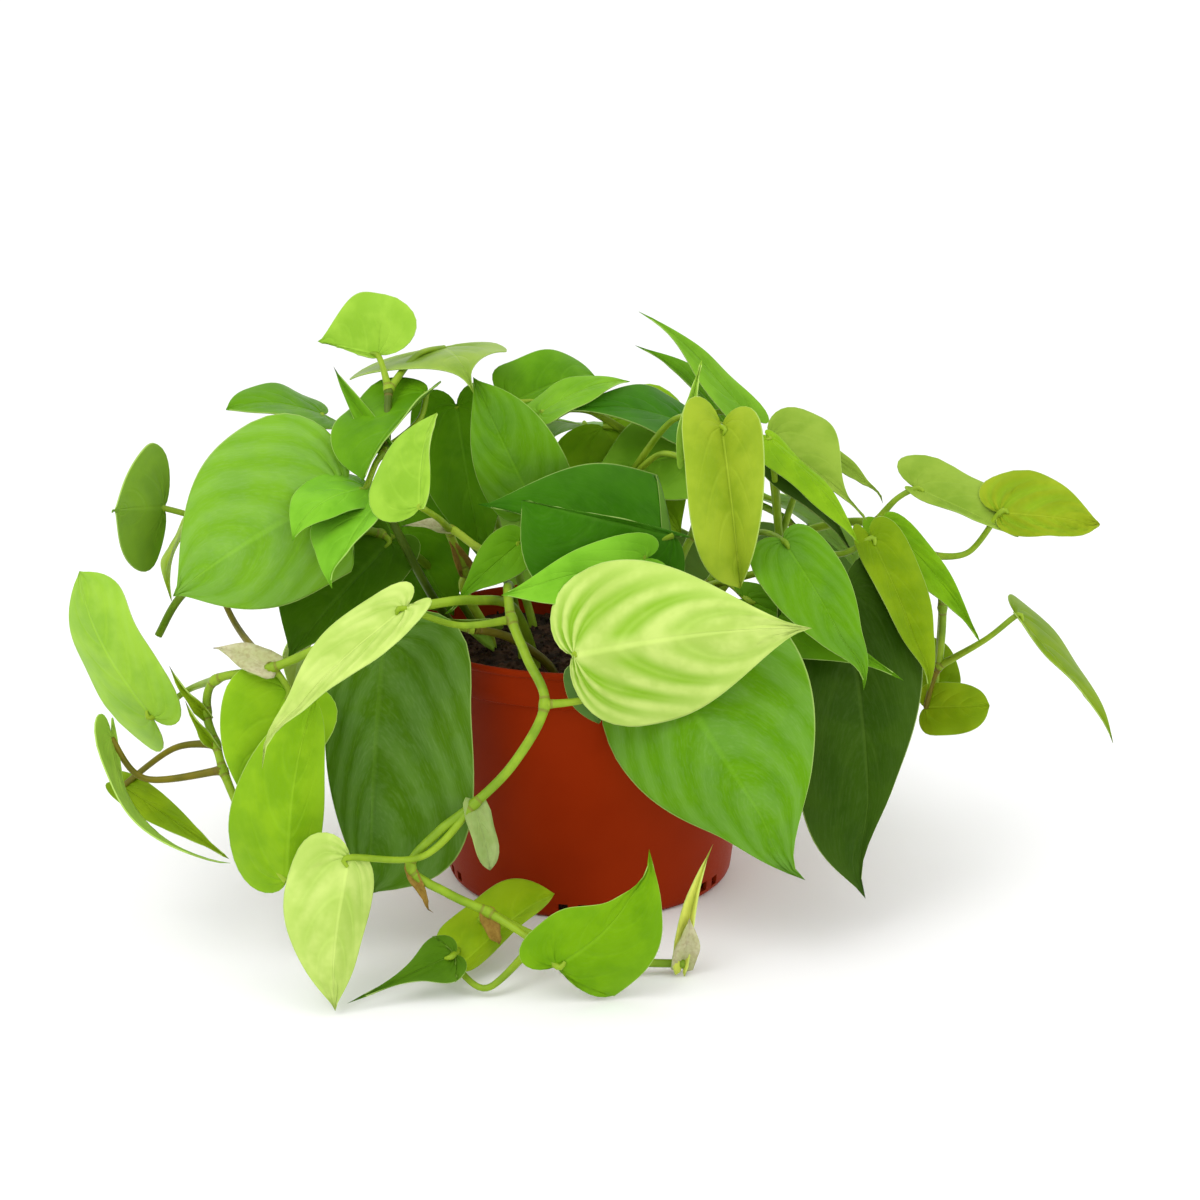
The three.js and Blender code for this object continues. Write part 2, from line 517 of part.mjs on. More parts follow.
function bladeSheet(surface, shape) {
  const steps = shape.bare ? SHEATH_STEPS : LEAF_STEPS;
  const rolled = Math.max(...shape.cup.map(Math.abs)) > ROLLED;
  const columns = rolled ? [0, 0.5, 1] : [0, 1];
  const halves = [0, 1].map((half) => outlineStations(
    shape.blunt[half], shape.lobe[half], shape.drip, steps));
  const ribs = halves[0].map(([x, y], i) => {
    const [otherX, otherY] = halves[1][i];
    return THREE.MathUtils.clamp((x + otherX - RIB_SLANT * (y + otherY)) / 2, 0, 1);
  });
  const points = [];
  const triangles = [];
  halves.forEach((stations, half) => {
    const sign = half === 0 ? 1 : -1;
    const rows = stations.map(([x, y], i) => columns.map((c) => {
      points.push(surface(ribs[i] + c * (x - ribs[i]), (sign * c * y) / WIDEST));
      return points.length - 1;
    }));
    for (let i = 0; i + 1 < rows.length; i += 1) {
      for (let c = 0; c + 1 < columns.length; c += 1) {
        const [a, d] = rows[i].slice(c, c + 2);
        const [b, e] = rows[i + 1].slice(c, c + 2);
        triangles.push(...(half === 0 ? [[a, b, e], [a, e, d]] : [[a, e, b], [a, d, e]]));
      }
    }
  });
  return mergeVertices(meshGeometry(points, triangles), 1e-3);
}

// Gives a sheet its thickness: an upper skin, a lower skin and a wall all round

function thickened(sheet, thickness) {
  const index = Array.from(sheet.index.array);
  const upper = [];
  for (let i = 0; i < index.length; i += 3) {
    const [a, b, c] = index.slice(i, i + 3);
    if (a !== b && b !== c && c !== a) {
      upper.push([a, b, c]);
    }
  }
  sheet.setIndex(upper.flat());
  sheet.computeVertexNormals();
  const count = sheet.attributes.position.count;
  const skin = [];
  for (const way of [0.5, -0.5]) {
    for (let i = 0; i < count; i += 1) {
      const normal = new THREE.Vector3().fromBufferAttribute(sheet.attributes.normal, i);
      const place = new THREE.Vector3().fromBufferAttribute(sheet.attributes.position, i);
      skin.push(place.addScaledVector(normal, way * thickness));
    }
  }
  const lower = upper.map(([a, b, c]) => [a + count, c + count, b + count]);
  const edges = new Map();
  for (const [a, b, c] of upper) {
    for (const [from, to] of [[a, b], [b, c], [c, a]]) {
      edges.set(`${from},${to}`, [from, to]);
    }
  }
  const walls = [];
  for (const [from, to] of edges.values()) {
    if (!edges.has(`${to},${from}`)) {
      walls.push([to, from, from + count], [to, from + count, to + count]);
    }
  }
  return toSolid(meshGeometry(skin, [...upper, ...lower, ...walls]));
}

// One leafy stem: a plug in the soil, the stem, then every petiole, blade and sheath

function stemPieces(points) {
  const path = smoothPath(points.map(vector), STEM_STEPS);
  const radii = path.map((point, i) => THREE.MathUtils.lerp(
    STEM_RADIUS, STEM_TIP_RADIUS, i / (path.length - 1)));
  const ground = path[0];
  const root = new THREE.Vector3(ground.x, ground.y, SOIL_TOP - ROOT_DEPTH);
  return bar([root, ...path], [STEM_RADIUS, ...radii], STEM_SIDES);
}

function petioleSolid(from, via, base, inBlade) {
  const lift = new THREE.Vector3(0, 0, PETIOLE_ARCH * from.distanceTo(base));
  const middle = via ?? from.clone().lerp(base, 0.5).add(lift);
  const steps = via ? BENT_PETIOLE_STEPS : PETIOLE_STEPS;
  const path = smoothPath([from, middle, base], steps);
  const arriving = base.clone().sub(path[path.length - 2]);
  if (arriving.dot(inBlade.clone().sub(base)) > 0) {
    path.push(inBlade);
  }
  return bar(path, path.map(() => PETIOLE_RADIUS), PETIOLE_SIDES);
}

function pair(value) {
  return Array.isArray(value) ? value : [value, value];
}

function vineSolid(vine) {
  const pieces = [stemPieces(vine.stem)];
  for (const [, node, ...places] of vine.leaves) {
    const [base, tip, face] = places.slice(0, 3).map(vector);
    const shape = { ...USUAL_SHAPE, ...places[3] };
    for (const key of ['wide', 'blunt', 'lobe', 'fold', 'cup']) {
      shape[key] = pair(shape[key]);
    }
    const surface = bladeSurface(base, tip, face, shape);
    const thickness = shape.bare ? SHEATH_THICKNESS : BLADE_THICKNESS;
    pieces.push(thickened(bladeSheet(surface, shape), thickness));
    if (!shape.bare) {
      const via = shape.via && vector(shape.via);
      const inBlade = surface(PETIOLE_SINK / base.distanceTo(tip), 0);
      pieces.push(petioleSolid(vector(vine.stem[node]), via, base, inBlade));
    }
  }
  return joinAll(pieces);
}

// The pot: one turned wall with a collar and a rolled lip, and drain notches in
// pairs round its foot

function potSolid() {
  const collarFoot = POT_HEIGHT - COLLAR_DEPTH;
  const lipFoot = POT_HEIGHT - LIP_DEPTH;
  const bulge = (1 - Math.SQRT1_2) * BASE_ROUNDING;
  const outside = [
    [0, 0], [BASE_RADIUS - BASE_ROUNDING, 0],
    [BASE_RADIUS - bulge, bulge], [BASE_RADIUS, BASE_ROUNDING],
    [NECK_RADIUS, collarFoot], [COLLAR_RADIUS, collarFoot],
    [COLLAR_RADIUS + COLLAR_FLARE, lipFoot], [RIM_RADIUS, lipFoot + LIP_STEP],
    [RIM_RADIUS, POT_HEIGHT - LIP_ROUNDING], [RIM_RADIUS - LIP_ROUNDING, POT_HEIGHT],
  ];
  const inside = [
    [LIP_INNER_RADIUS, POT_HEIGHT], [COLLAR_RADIUS - POT_WALL, POT_HEIGHT - LIP_INNER_DEPTH],
    [NECK_RADIUS - POT_WALL, collarFoot - POT_WALL],
    [BASE_RADIUS - POT_WALL, POT_FLOOR], [0, POT_FLOOR],
  ];
  const profile = [...outside, ...inside].map(([r, z]) => new THREE.Vector2(r, z));
  const turned = new THREE.LatheGeometry(profile, POT_SIDES);
  turned.rotateX(Math.PI / 2);
  let pot = toSolid(turned);
  const notch = new THREE.BoxGeometry(4 * POT_WALL, NOTCH_WIDTH, NOTCH_HEIGHT);
  for (let i = 0; i < NOTCH_PAIRS; i += 1) {
    const middle = THREE.MathUtils.degToRad(NOTCH_FIRST_ANGLE) + (2 * Math.PI * i) / NOTCH_PAIRS;
    for (const way of [-0.5, 0.5]) {
      const placed = notch.clone();
      placed.translate(BASE_RADIUS, 0, NOTCH_BOTTOM + NOTCH_HEIGHT / 2);
      placed.rotateZ(middle + (way * NOTCH_SPACING) / BASE_RADIUS);
      pot = pot.subtract(toSolid(placed));
    }
  }
  return pot;
}

// The soil fills the pot, with a gently uneven top and a plain hole for each stem

function soilRadius(z) {
  const run = (z - POT_FLOOR) / (POT_HEIGHT - COLLAR_DEPTH - POT_WALL - POT_FLOOR);
  const wall = THREE.MathUtils.lerp(BASE_RADIUS, NECK_RADIUS, Math.min(run, 1));
  return wall - POT_WALL - 2 * SOIL_GAP;
}

// Two crossing swells and a finer one, of no special pattern

function unevenness(x, y) {
  const swell = Math.sin(0.13 * x + 1) * Math.cos(0.11 * y);
  const finer = Math.sin(0.31 * (x - y));
  return swell + 0.5 * finer;
}

function soilSolid(roots) {
  const foot = POT_FLOOR + SOIL_GAP;
  const edge = soilRadius(SOIL_TOP);
  const profile = [
    [0, foot], [soilRadius(foot) - SOIL_FOOT_CUT, foot], [edge, SOIL_TOP - SOIL_EDGE_DROP]];
  for (let ring = SOIL_RINGS - 1; ring >= 0; ring -= 1) {
    profile.push([(edge * ring) / SOIL_RINGS, SOIL_TOP]);
  }
  const shape = new THREE.LatheGeometry(
    profile.map(([r, z]) => new THREE.Vector2(r, z)), SOIL_SIDES);
  shape.rotateX(Math.PI / 2);
  const place = shape.attributes.position;
  for (let i = 0; i < place.count; i += 1) {
    if (place.getZ(i) > SOIL_TOP - SOIL_GAP) {
      place.setZ(i, SOIL_TOP + SOIL_BUMP * unevenness(place.getX(i), place.getY(i)));
    }
  }
  let soil = toSolid(shape);
  const hole = new THREE.CylinderGeometry(
    STEM_RADIUS + SOIL_GAP, STEM_RADIUS + SOIL_GAP, 2 * ROOT_DEPTH, ROOT_SIDES);
  hole.rotateX(Math.PI / 2);
  for (const root of roots) {
    const placed = hole.clone();
    placed.translate(root[0], root[1], SOIL_TOP - SOIL_GAP);
    soil = soil.subtract(toSolid(placed));
  }
  return soil;
}

const finishes = {
  pot: { color: 0xb04626, roughness: 0.45, metalness: 0 },
  soil: { color: 0x3a2619, roughness: 1, metalness: 0 },
  vine: { color: 0x7cb63a, roughness: 0.5, metalness: 0 },
};

function named(name, solid, finish) {
  const mesh = new THREE.Mesh(toGeometry(solid), new THREE.MeshStandardMaterial(finish));
  mesh.name = name;
  return mesh;
}

const plant = new THREE.Group();
plant.add(named('pot', potSolid(), finishes.pot));
plant.add(named('soil', soilSolid(Object.values(VINES).map((vine) => vine.stem[0])),
  finishes.soil));
for (const [name, vine] of Object.entries(VINES)) {
  plant.add(named(`vine_${name}`, vineSolid(vine), finishes.vine));
}

export default plant;
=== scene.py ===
# %% [markdown]
# # A potted heart-leaf plant, lime and green
#
# This notebook dresses a finished CAD model of a trailing plant in a plastic nursery pot.
# The CAD model fixes the sizes: one solid for the pot, one for the soil and one for each
# rooted stem. Blender adds what the eye looks for: smooth blades with veins and a pale
# rim, round stalks, crumbs of soil and the soft sheen of moulded plastic.
#
# Everything is in metres, +Z is up, and the origin is the middle of the pot's underside.

# %% Load the packed model
import math

import bpy
import numpy as np
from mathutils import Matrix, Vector


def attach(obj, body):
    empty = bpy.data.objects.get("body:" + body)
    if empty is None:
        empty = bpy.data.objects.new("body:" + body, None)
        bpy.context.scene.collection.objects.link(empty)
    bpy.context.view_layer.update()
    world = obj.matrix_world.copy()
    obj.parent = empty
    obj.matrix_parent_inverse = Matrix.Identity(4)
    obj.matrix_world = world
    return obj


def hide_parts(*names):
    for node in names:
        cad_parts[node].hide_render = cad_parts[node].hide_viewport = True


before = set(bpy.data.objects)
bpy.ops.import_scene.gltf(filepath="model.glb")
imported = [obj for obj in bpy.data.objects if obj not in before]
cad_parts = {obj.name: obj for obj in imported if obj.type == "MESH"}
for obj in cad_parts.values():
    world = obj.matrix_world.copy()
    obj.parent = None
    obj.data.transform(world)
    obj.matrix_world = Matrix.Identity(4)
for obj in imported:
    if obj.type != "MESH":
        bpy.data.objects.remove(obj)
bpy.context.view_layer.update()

MM = 0.001

# %% [markdown]
# ## The camera
#
# The picture was taken from a little above the pot, with a lens that makes the pot's rim
# a flat ellipse. A camera is settled before anything else, because it shows at once
# whether a piece is in the right place.

# %% Place the camera
CAMERA_PLACE = (4.5, -678.3, 290.8)
CAMERA_PITCH = 14.31
FOCAL_PIXELS = 1661
PICTURE_PIXELS = 1200
SENSOR_WIDTH = 36.0

lens = bpy.data.cameras.new("photo_lens")
lens.sensor_width = SENSOR_WIDTH
lens.lens = SENSOR_WIDTH * FOCAL_PIXELS / PICTURE_PIXELS
lens.clip_start = 0.01
camera = bpy.data.objects.new("photo_camera", lens)
camera.location = Vector(CAMERA_PLACE) * MM
camera.rotation_euler = (math.radians(90 - CAMERA_PITCH), 0, 0)
bpy.context.scene.collection.objects.link(camera)
bpy.context.scene.camera = camera
print("focal length", round(lens.lens, 2), "mm")

# %% [markdown]
# ## Formulas as nodes
#
# Both Geometry Nodes and materials do arithmetic with small boxes joined by wires. Drawing
# dozens of boxes by hand hides the formula, so a `Wire` stands for one socket, and adding
# or multiplying wires adds the right box. A formula in code then reads as on paper.

# %% Write a wire that does arithmetic
class Wire:
    """One output socket of a node tree, which can be added, multiplied and so on."""

    def __init__(self, tree, socket):
        self.tree = tree
        self.socket = socket
        self.is_vector = socket.type in ("VECTOR", "RGBA")

    def scalar(self, operation, *others):
        return box(self.tree, "ShaderNodeMath", operation, (self, *others))

    def vector(self, operation, *others):
        return box(self.tree, "ShaderNodeVectorMath", operation, (self, *others))

    def combine(self, operation, other):
        if self.is_vector or getattr(other, "is_vector", False):
            return self.vector(operation, other)
        return self.scalar(operation, other)

    def __add__(self, other):
        return self.combine("ADD", other)

    def __sub__(self, other):
        return self.combine("SUBTRACT", other)

    def __rsub__(self, number):
        return self.scalar("MULTIPLY", -1.0).scalar("ADD", number)

    def __mul__(self, other):
        if not self.is_vector:
            return self.scalar("MULTIPLY", other)
        node = self.tree.nodes.new("ShaderNodeVectorMath")
        node.operation = "SCALE"
        self.tree.links.new(self.socket, node.inputs[0])
        feed(self.tree, node.inputs[3], other)
        return Wire(self.tree, node.outputs[0])

    def __truediv__(self, other):
        return self.scalar("DIVIDE", other)


print("a wire knows:", ", ".join(name for name in vars(Wire) if name[0] != "_"))

# %% Write the helpers that add nodes
def feed(tree, socket, value):
    """Joins a wire to a socket, or writes a plain value into it."""
    if isinstance(value, Wire):
        tree.links.new(value.socket, socket)
    else:
        socket.default_value = value


def box(tree, kind, operation, values):
    """Adds one arithmetic node and gives back its result."""
    node = tree.nodes.new(kind)
    node.operation = operation
    for socket, value in zip(node.inputs, values):
        feed(tree, socket, value)
    gives_number = operation in ("DOT_PRODUCT", "LENGTH", "DISTANCE")
    return Wire(tree, node.outputs["Value" if gives_number or kind == "ShaderNodeMath" else 0])


def add(tree, kind, values=(), **settings):
    """Adds any other node: settings are its properties, values go into its sockets."""
    node = tree.nodes.new(kind)
    for name, setting in settings.items():
        setattr(node, name, setting)
    for name, value in dict(values).items():
        feed(tree, node.inputs[name], value)
    return Wire(tree, node.outputs[0])


print("formula helpers are ready")

# %% [markdown]
# ## The plant's plan
#
# Every vine has a list of stem points in millimetres, the first in the soil. Every leaf
# is one row: its name, the stem point its stalk leaves from, the place where the stalk
# meets the blade, the blade's tip, the way its upper face looks, and what is special
# about its own shape, where a pair of numbers is for the blade's two halves. It is the
# same plan that the CAD model was built from, so each blade lies where its solid does.

# %% Write the helper that notes a vine down
VINES = {}


def plan(vine, stem, *leaves):
    """Notes a vine down: its stem points, and a row for each leaf or sheath."""
    VINES[vine] = {"stem": stem, "leaves": leaves}
    print(vine, "vine:", len(stem), "stem points,", len(leaves), "leaves and sheaths")


print("vines planned so far:", len(VINES))

# %% Plan the vine that spills over the front
plan(
    "front",
    [[-28, -12, 100], [-31, -30, 128], [-31, -56, 137], [-29, -70, 128], [-23, -80, 116],
     [-16, -91, 101], [-27, -98, 81], [-42, -102, 66], [-55, -107, 57], [-65, -112, 45],
     [-51, -113, 35], [-37, -113, 28], [-18, -112, 17], [12, -110, 7], [36, -107, 4]],
    ["broad_front", 5, [29, -88, 114], [80, -112, 40], [-0.1, -1, 0.3],
     dict(wide=[0.98, 0.88], blunt=0.8, drip=0.16, fold=[0, -20], hook=-0.035,
          via=[2, -89, 103], dust_sheen_and_shade=0.55, pleat=0.9)],
    ["pale_left", 3, [-66, -100, 140], [-115, -124, 88], [-0.3, -0.6, 0.75],
     dict(wide=[0.28, 0.42], blunt=[0.7, 1.1], drip=0.28, hook=-0.05, via=[-48, -82, 129],
          tone="pale", band=0.25, pleat=0.6)],
    ["lime_low", 7, [-85, -126, 55], [-90, -140, 2], [-0.3, -1, 0.2],
     dict(wide=[0.5, 0.9], blunt=[1.5, 1], lobe=[0.3, 1.15], fold=[-55, 0], via=[-60, -113, 50],
          tone="pale", band=0.25, pleat=0.7)],
    ["floor_dark", 11, [-49, -122, 15], [-86, -138, 4], [-0.1, -0.7, 0.7],
     dict(wide=0.5, blunt=0.6, lobe=0.6, drip=0.6, rise=5, drop=0, via=[-46, -92, 8],
          tone="deep")],
    ["floor_olive", 12, [-48, -119, 8], [-13, -84, 22], [-0.2, -0.7, 0.6],
     dict(wide=[0.66, 0.22], blunt=[2.2, 1.6], lobe=[0.2, 0], drip=0.03, fold=[5, -50],
          via=[-36, -126, 4], tone="straw")],
    ["floor_bright", 11, [-11, -133, 16], [22, -128, 59], [0.1, -1, 0.15],
     dict(wide=[0.62, 0.88], blunt=[0, 1.4], lobe=[1.5, 0], drip=0.22, rise=8, drop=15,
          fold=[-5, 0], sweep=-0.13, hook=-0.04, via=[-22, -122, 22], tone="fresh", pleat=0.5)],
    ["sheath_pale", 7, [-42, -102, 66], [-36, -110, 43], [0.4, -0.9, 0.1],
     dict(wide=0.4, blunt=1.8, drip=0.04, fold=20, bare=1, tone="husk")],
    ["sheath_turn", 9, [-65, -112, 45], [-57, -112, 27], [0, -1, 0.2],
     dict(wide=0.24, fold=40, hook=-0.05, bare=1, tone="dry")],
    ["sheath_low", 11, [-37, -113, 28], [-33, -114, 15], [0, -1, 0.2],
     dict(wide=0.5, blunt=1.2, fold=30, hook=0.05, bare=1, tone="dry")],
    ["shoot", 14, [36, -107, 5], [47, -97, 48], [-0.3, -1, 0.2],
     dict(wide=[0.26, 0.16], rise=-10, drop=20, fold=60, sweep=0.05, bare=1, tone="young")],
    ["shoot_sheath", 14, [35, -107, 4], [38, -106, 22], [0.3, -1, 0.1],
     dict(wide=0.62, blunt=1, fold=35, bare=1, tone="sheath")],
)

# %% Plan the vine on the left
plan(
    "left",
    [[-22, -30, 100], [-30, -44, 126], [-44, -64, 134], [-57, -77, 136], [-72, -84, 134],
     [-92, -86, 125], [-118, -84, 113], [-141, -76, 106], [-146, -73, 92], [-142, -78, 81],
     [-139, -82, 72]],
    ["left_high", 7, [-168, -70, 89], [-194, -62, 145], [-0.5, -0.9, 0],
     dict(wide=[0.76, 0.5], blunt=[1.2, 3], lobe=[1.9, 0.9], drip=0.03, fold=[-5, -8],
          via=[-157, -58, 96], tone="lime", dust_sheen_and_shade=0.3)],
    ["left_edge", 10, [-182, -77, 83], [-132, -108, 45], [-0.65, -0.3, -0.7],
     dict(wide=[0.38, 0.1], drip=0.15, rise=38, drop=38, hook=-0.05, via=[-170, -78, 67],
          stalk="brown", tone="lime")],
    ["left_under", 9, [-181, -70, 61], [-135, -97, 42], [-0.1, -0.7, 0.6],
     dict(wide=0.22, blunt=0.5, rise=6, drop=6, via=[-160, -72, 77], stalk="brown", tone="olive")],
    ["left_lime_back", 6, [-112, -84, 104], [-129, -92, 62], [-0.1, -1, 0.2],
     dict(wide=0.95, blunt=0.8, tone="clear")],
    ["left_lime_front", 10, [-112, -106, 37], [-99, -100, 108], [-0.3, -1, 0],
     dict(wide=[0.74, 0.34], blunt=[1, 1.6], drip=0.05, fold=[0, -30], via=[-126, -96, 50],
          tone="clear")],
    ["left_spike_a", 8, [-146, -74, 92], [-159, -74, 111], [-0.3, -1, 0.2],
     dict(wide=0.25, fold=50, bare=1, tone="olive")],
    ["left_spike_b", 9, [-142, -79, 81], [-153, -77, 98], [-0.3, -1, 0.2],
     dict(wide=0.25, fold=50, bare=1, tone="olive")],
    ["left_root", 6, [-118, -84, 113], [-142, -74, 118], [0, -0.6, 0.8],
     dict(wide=0.5, fold=20, bare=1, tone="sheath")],
    ["olive_left", 6, [-163, -12, 157], [-165, -42, 128], [-0.8, -0.4, 0.3],
     dict(wide=0.6, via=[-142, -40, 121], stalk="brown", tone="straw")],
)

# %% Plan the vines on the upper left
plan(
    "upper_left",
    [[-56, 4, 100], [-65, -15, 124], [-74, -22, 145], [-81, -24, 164], [-80, -26, 186],
     [-80, -14, 208]],
    ["big_left", 3, [-96, -36, 172], [-158, -66, 136], [-0.2, -0.95, 0.3],
     dict(wide=[0.8, 1.18], blunt=[1.7, 1], lobe=[-0.3, 1.1], fold=[-20, 0], tone="leaf",
          dust_sheen_and_shade=0.7, pleat=0.8)],
    ["curl_top", 4, [-65, -12, 207], [-87, -46, 177], [-0.4, -0.8, 0.4],
     dict(wide=[0.2, 1.02], blunt=[0.4, 1.9], lobe=1.2, drip=0.05, rise=10, drop=30,
          fold=[20, -5], cup=[40, 10], via=[-68, -16, 196])],
    ["curl_mid", 4, [-87, -38, 173], [-112, -64, 157], [-0.3, -0.6, 0.7],
     dict(wide=[0.5, 0.95], blunt=0.8, rise=25, drop=50, fold=[-20, 10], tone="bright",
          pleat=0.2)],
    ["curl_low", 3, [-81, -46, 169], [-96, -74, 141], [-0.4, -0.7, 0.5],
     dict(wide=[0.4, 1.16], blunt=[0.2, 1], drip=0.16, fold=[25, 5], hook=-0.05, tone="bright")],
    ["top_lime", 5, [-85, -6, 221], [-110, 0, 226], [0.1, -0.9, 0.3],
     dict(wide=[0.14, 1.9], blunt=[0.3, 1.9], lobe=[0.3, 3.6], drip=0.2, rise=5, drop=5,
          tone="lime")],
    ["top_arch", 5, [-61, 24, 221], [-45, -26, 208], [-0.02, -0.3, 1],
     dict(wide=[0.92, 1.58], blunt=0, drip=0.2, fold=[4, 1], tone="grey")],
    ["spike_left", 4, [-80, -26, 186], [-104, 0, 216], [-0.3, -0.8, 0.5],
     dict(wide=0.2, fold=40, bare=1)],
)
plan(
    "mid_left",
    [[-50, 24, 100], [-66, 14, 126], [-86, -8, 148], [-108, -22, 150], [-136, -30, 142],
     [-158, -44, 133], [-170, -46, 115]],
    ["deep_middle", 1, [-84, 22, 152], [-58, 10, 108], [-0.1, -0.9, 0.4],
     dict(wide=1.1, blunt=0.9)],
    ["far_left", 4, [-168, -34, 164], [-173, -84, 172], [-0.97, 0.15, 0.1],
     dict(wide=1, blunt=-0.6, lobe=0.75, tone="fresh")],
    ["deep_left", 2, [-82, -10, 145], [-120, -42, 104], [-0.2, -0.9, 0.4],
     dict(wide=[0.5, 1.2], blunt=1, rise=4, drop=12, tone="deep")],
    ["behind_left", 3, [-111, 10, 195], [-146, -12, 200], [-0.2, -0.5, 0.9],
     dict(blunt=1.2, drip=0.03)],
)
plan(
    "dark_left",
    [[-14, -46, 100], [-30, -54, 116], [-44, -62, 122]],
    ["dark_left", 2, [-78, -70, 120], [-83, -93, 26], [-0.1, -1, 0.2],
     dict(wide=[0.74, 0.42], blunt=[2.8, 1], drip=0.04, rise=8, drop=14, tone="deep",
          dust_sheen_and_shade=0.5, pleat=0.8)],
)

# %% Plan the vines in the middle
plan(
    "inner",
    [[-42, 2, 100], [-52, -8, 124], [-51, -14, 134], [-56, -24, 153], [-45, -32, 148],
     [-36, -36, 144]],
    ["arch_far", 5, [33, -34, 142], [-43, -42, 167], [0, -0.65, 0.7],
     dict(wide=[0.12, 0.94], blunt=[0.3, 0.9], lobe=[0.3, -0.6], drip=0.12, rise=8, drop=12,
          via=[0, -22, 145], tone="dark")],
    ["arch_point", 5, [-27, -46, 152], [-56, -55, 126], [-0.2, -0.9, 0.3],
     dict(wide=0.5, blunt=0, drip=0.2, hook=0.03)],
    ["sheath_node", 3, [-56, -24, 153], [-74, -36, 157], [0, -0.7, 0.7],
     dict(wide=0.3, fold=30, bare=1, tone="sheath")],
    ["sheath_brown", 2, [-51, -14, 134], [-58, -22, 152], [0.3, -0.9, 0.2],
     dict(wide=0.4, fold=40, bare=1, tone="dry")],
    ["bud", 0, [-42, 0, 102], [-58, -30, 118], [0.2, -0.9, 0.3],
     dict(wide=0.4, fold=40, bare=1, tone="lime")],
    ["half_bright", 3, [-63, -67, 171], [-58, -43, 203], [-0.5, -0.8, 0.2],
     dict(wide=[1.14, 0.2], blunt=[0.7, 1.2], lobe=[1, 0.3], drip=0.03, via=[-58, -46, 162],
          tone="lime")],
)
plan(
    "centre",
    [[-4, -20, 100], [-6, -30, 122], [-4, -42, 137], [10, -51, 139]],
    ["centre_upright", 2, [-24, -14, 164], [-47, -3, 212], [-0.1, -0.9, 0.3],
     dict(wide=[0.6, 0.76], blunt=[0.7, 1.2], dust_sheen_and_shade=0.3, pleat=0.4)],
    ["arch_near", 3, [33, -44, 155], [-25, -60, 172], [0, -1, 0.2],
     dict(wide=[1, 0.06], blunt=[2.6, 0.3], drip=0.02, rise=6, drop=6, tone="dark")],
    ["centre_light", 3, [22, -62, 150], [-32, -84, 141], [0, -0.85, 0.5],
     dict(wide=[0.5, 0.38], blunt=[1.2, 0.5], drip=0.08, rise=8, drop=10, tone="bright")],
    ["lime_front", 3, [-5, -98, 122], [80, -108, 135], [0.1, -0.8, 0.5],
     dict(wide=[0.78, 0.82], blunt=[0.6, 1.2], lobe=[0.85, 0.5], drip=0.16, fold=[5, -38],
          via=[8, -70, 132], tone="pale", band=1, pleat=1.1)],
    ["behind_lime", 3, [2, -84, 113], [4, -84, 91], [0, -1, 0.2],
     dict(wide=[0.6, 1.05], blunt=1.2, drip=0.04, rise=4, drop=4, fold=0, cup=-6,
          via=[4, -74, 122], tone="slate")],
)

# %% Plan the vines on the top and the right
plan(
    "top",
    [[14, 10, 100], [16, 14, 135], [14, 21, 162], [20, 28, 182]],
    ["spike_lime", 2, [38, -34, 184], [44, -32, 222], [-0.3, -1, 0.1],
     dict(wide=0.24, fold=50, via=[28, -4, 180], tone="lime")],
    ["deep_top", 3, [6, 34, 186], [40, 24, 140], [0.1, -0.9, 0.3],
     dict(wide=[1.15, 1.05], blunt=0.6, tone="clear")],
    ["folded_yellow", 2, [51, -48, 198], [57, -74, 141], [0, -1, 0.3],
     dict(wide=[0.6, 0.57], blunt=[0.9, 2.4], lobe=[0.55, 1.5], drip=0.04, fold=[55, 35],
          via=[34, -14, 196], tone="maize")],
    ["spike_right", 3, [70, 40, 190], [21, 38, 235], [0.4, -0.7, 0.6],
     dict(wide=[0.36, 0.26], blunt=0.9, drip=0.3, rise=0, tone="leaf")],
    ["spike_low", 3, [61, 52, 184], [20, 55, 219], [0.5, -0.6, 0.6],
     dict(wide=[0.16, 0.5], blunt=0.9, drip=0.25)],
    ["top_round", 3, [-32, 17, 199], [3, 45, 206], [0, -0.75, 0.65],
     dict(wide=[0.84, 0.76], blunt=1.6, lobe=[0.6, 1], drip=0.03)],
    ["top_pale", 3, [-20, 0, 197], [17, 15, 208], [0, -0.4, 0.9],
     dict(wide=0.52, blunt=0.9, tone="leaf")],
    ["top_flat", 3, [41, 25, 189], [-13, -5, 198], [0, -0.7, 0.8],
     dict(wide=0.5, blunt=0.5, drip=0.15, tone="dark")],
    ["inner_olive", 2, [40, 24, 176], [-4, 10, 164], [0, -0.8, 0.5],
     dict(wide=0.9, tone="leaf")],
)
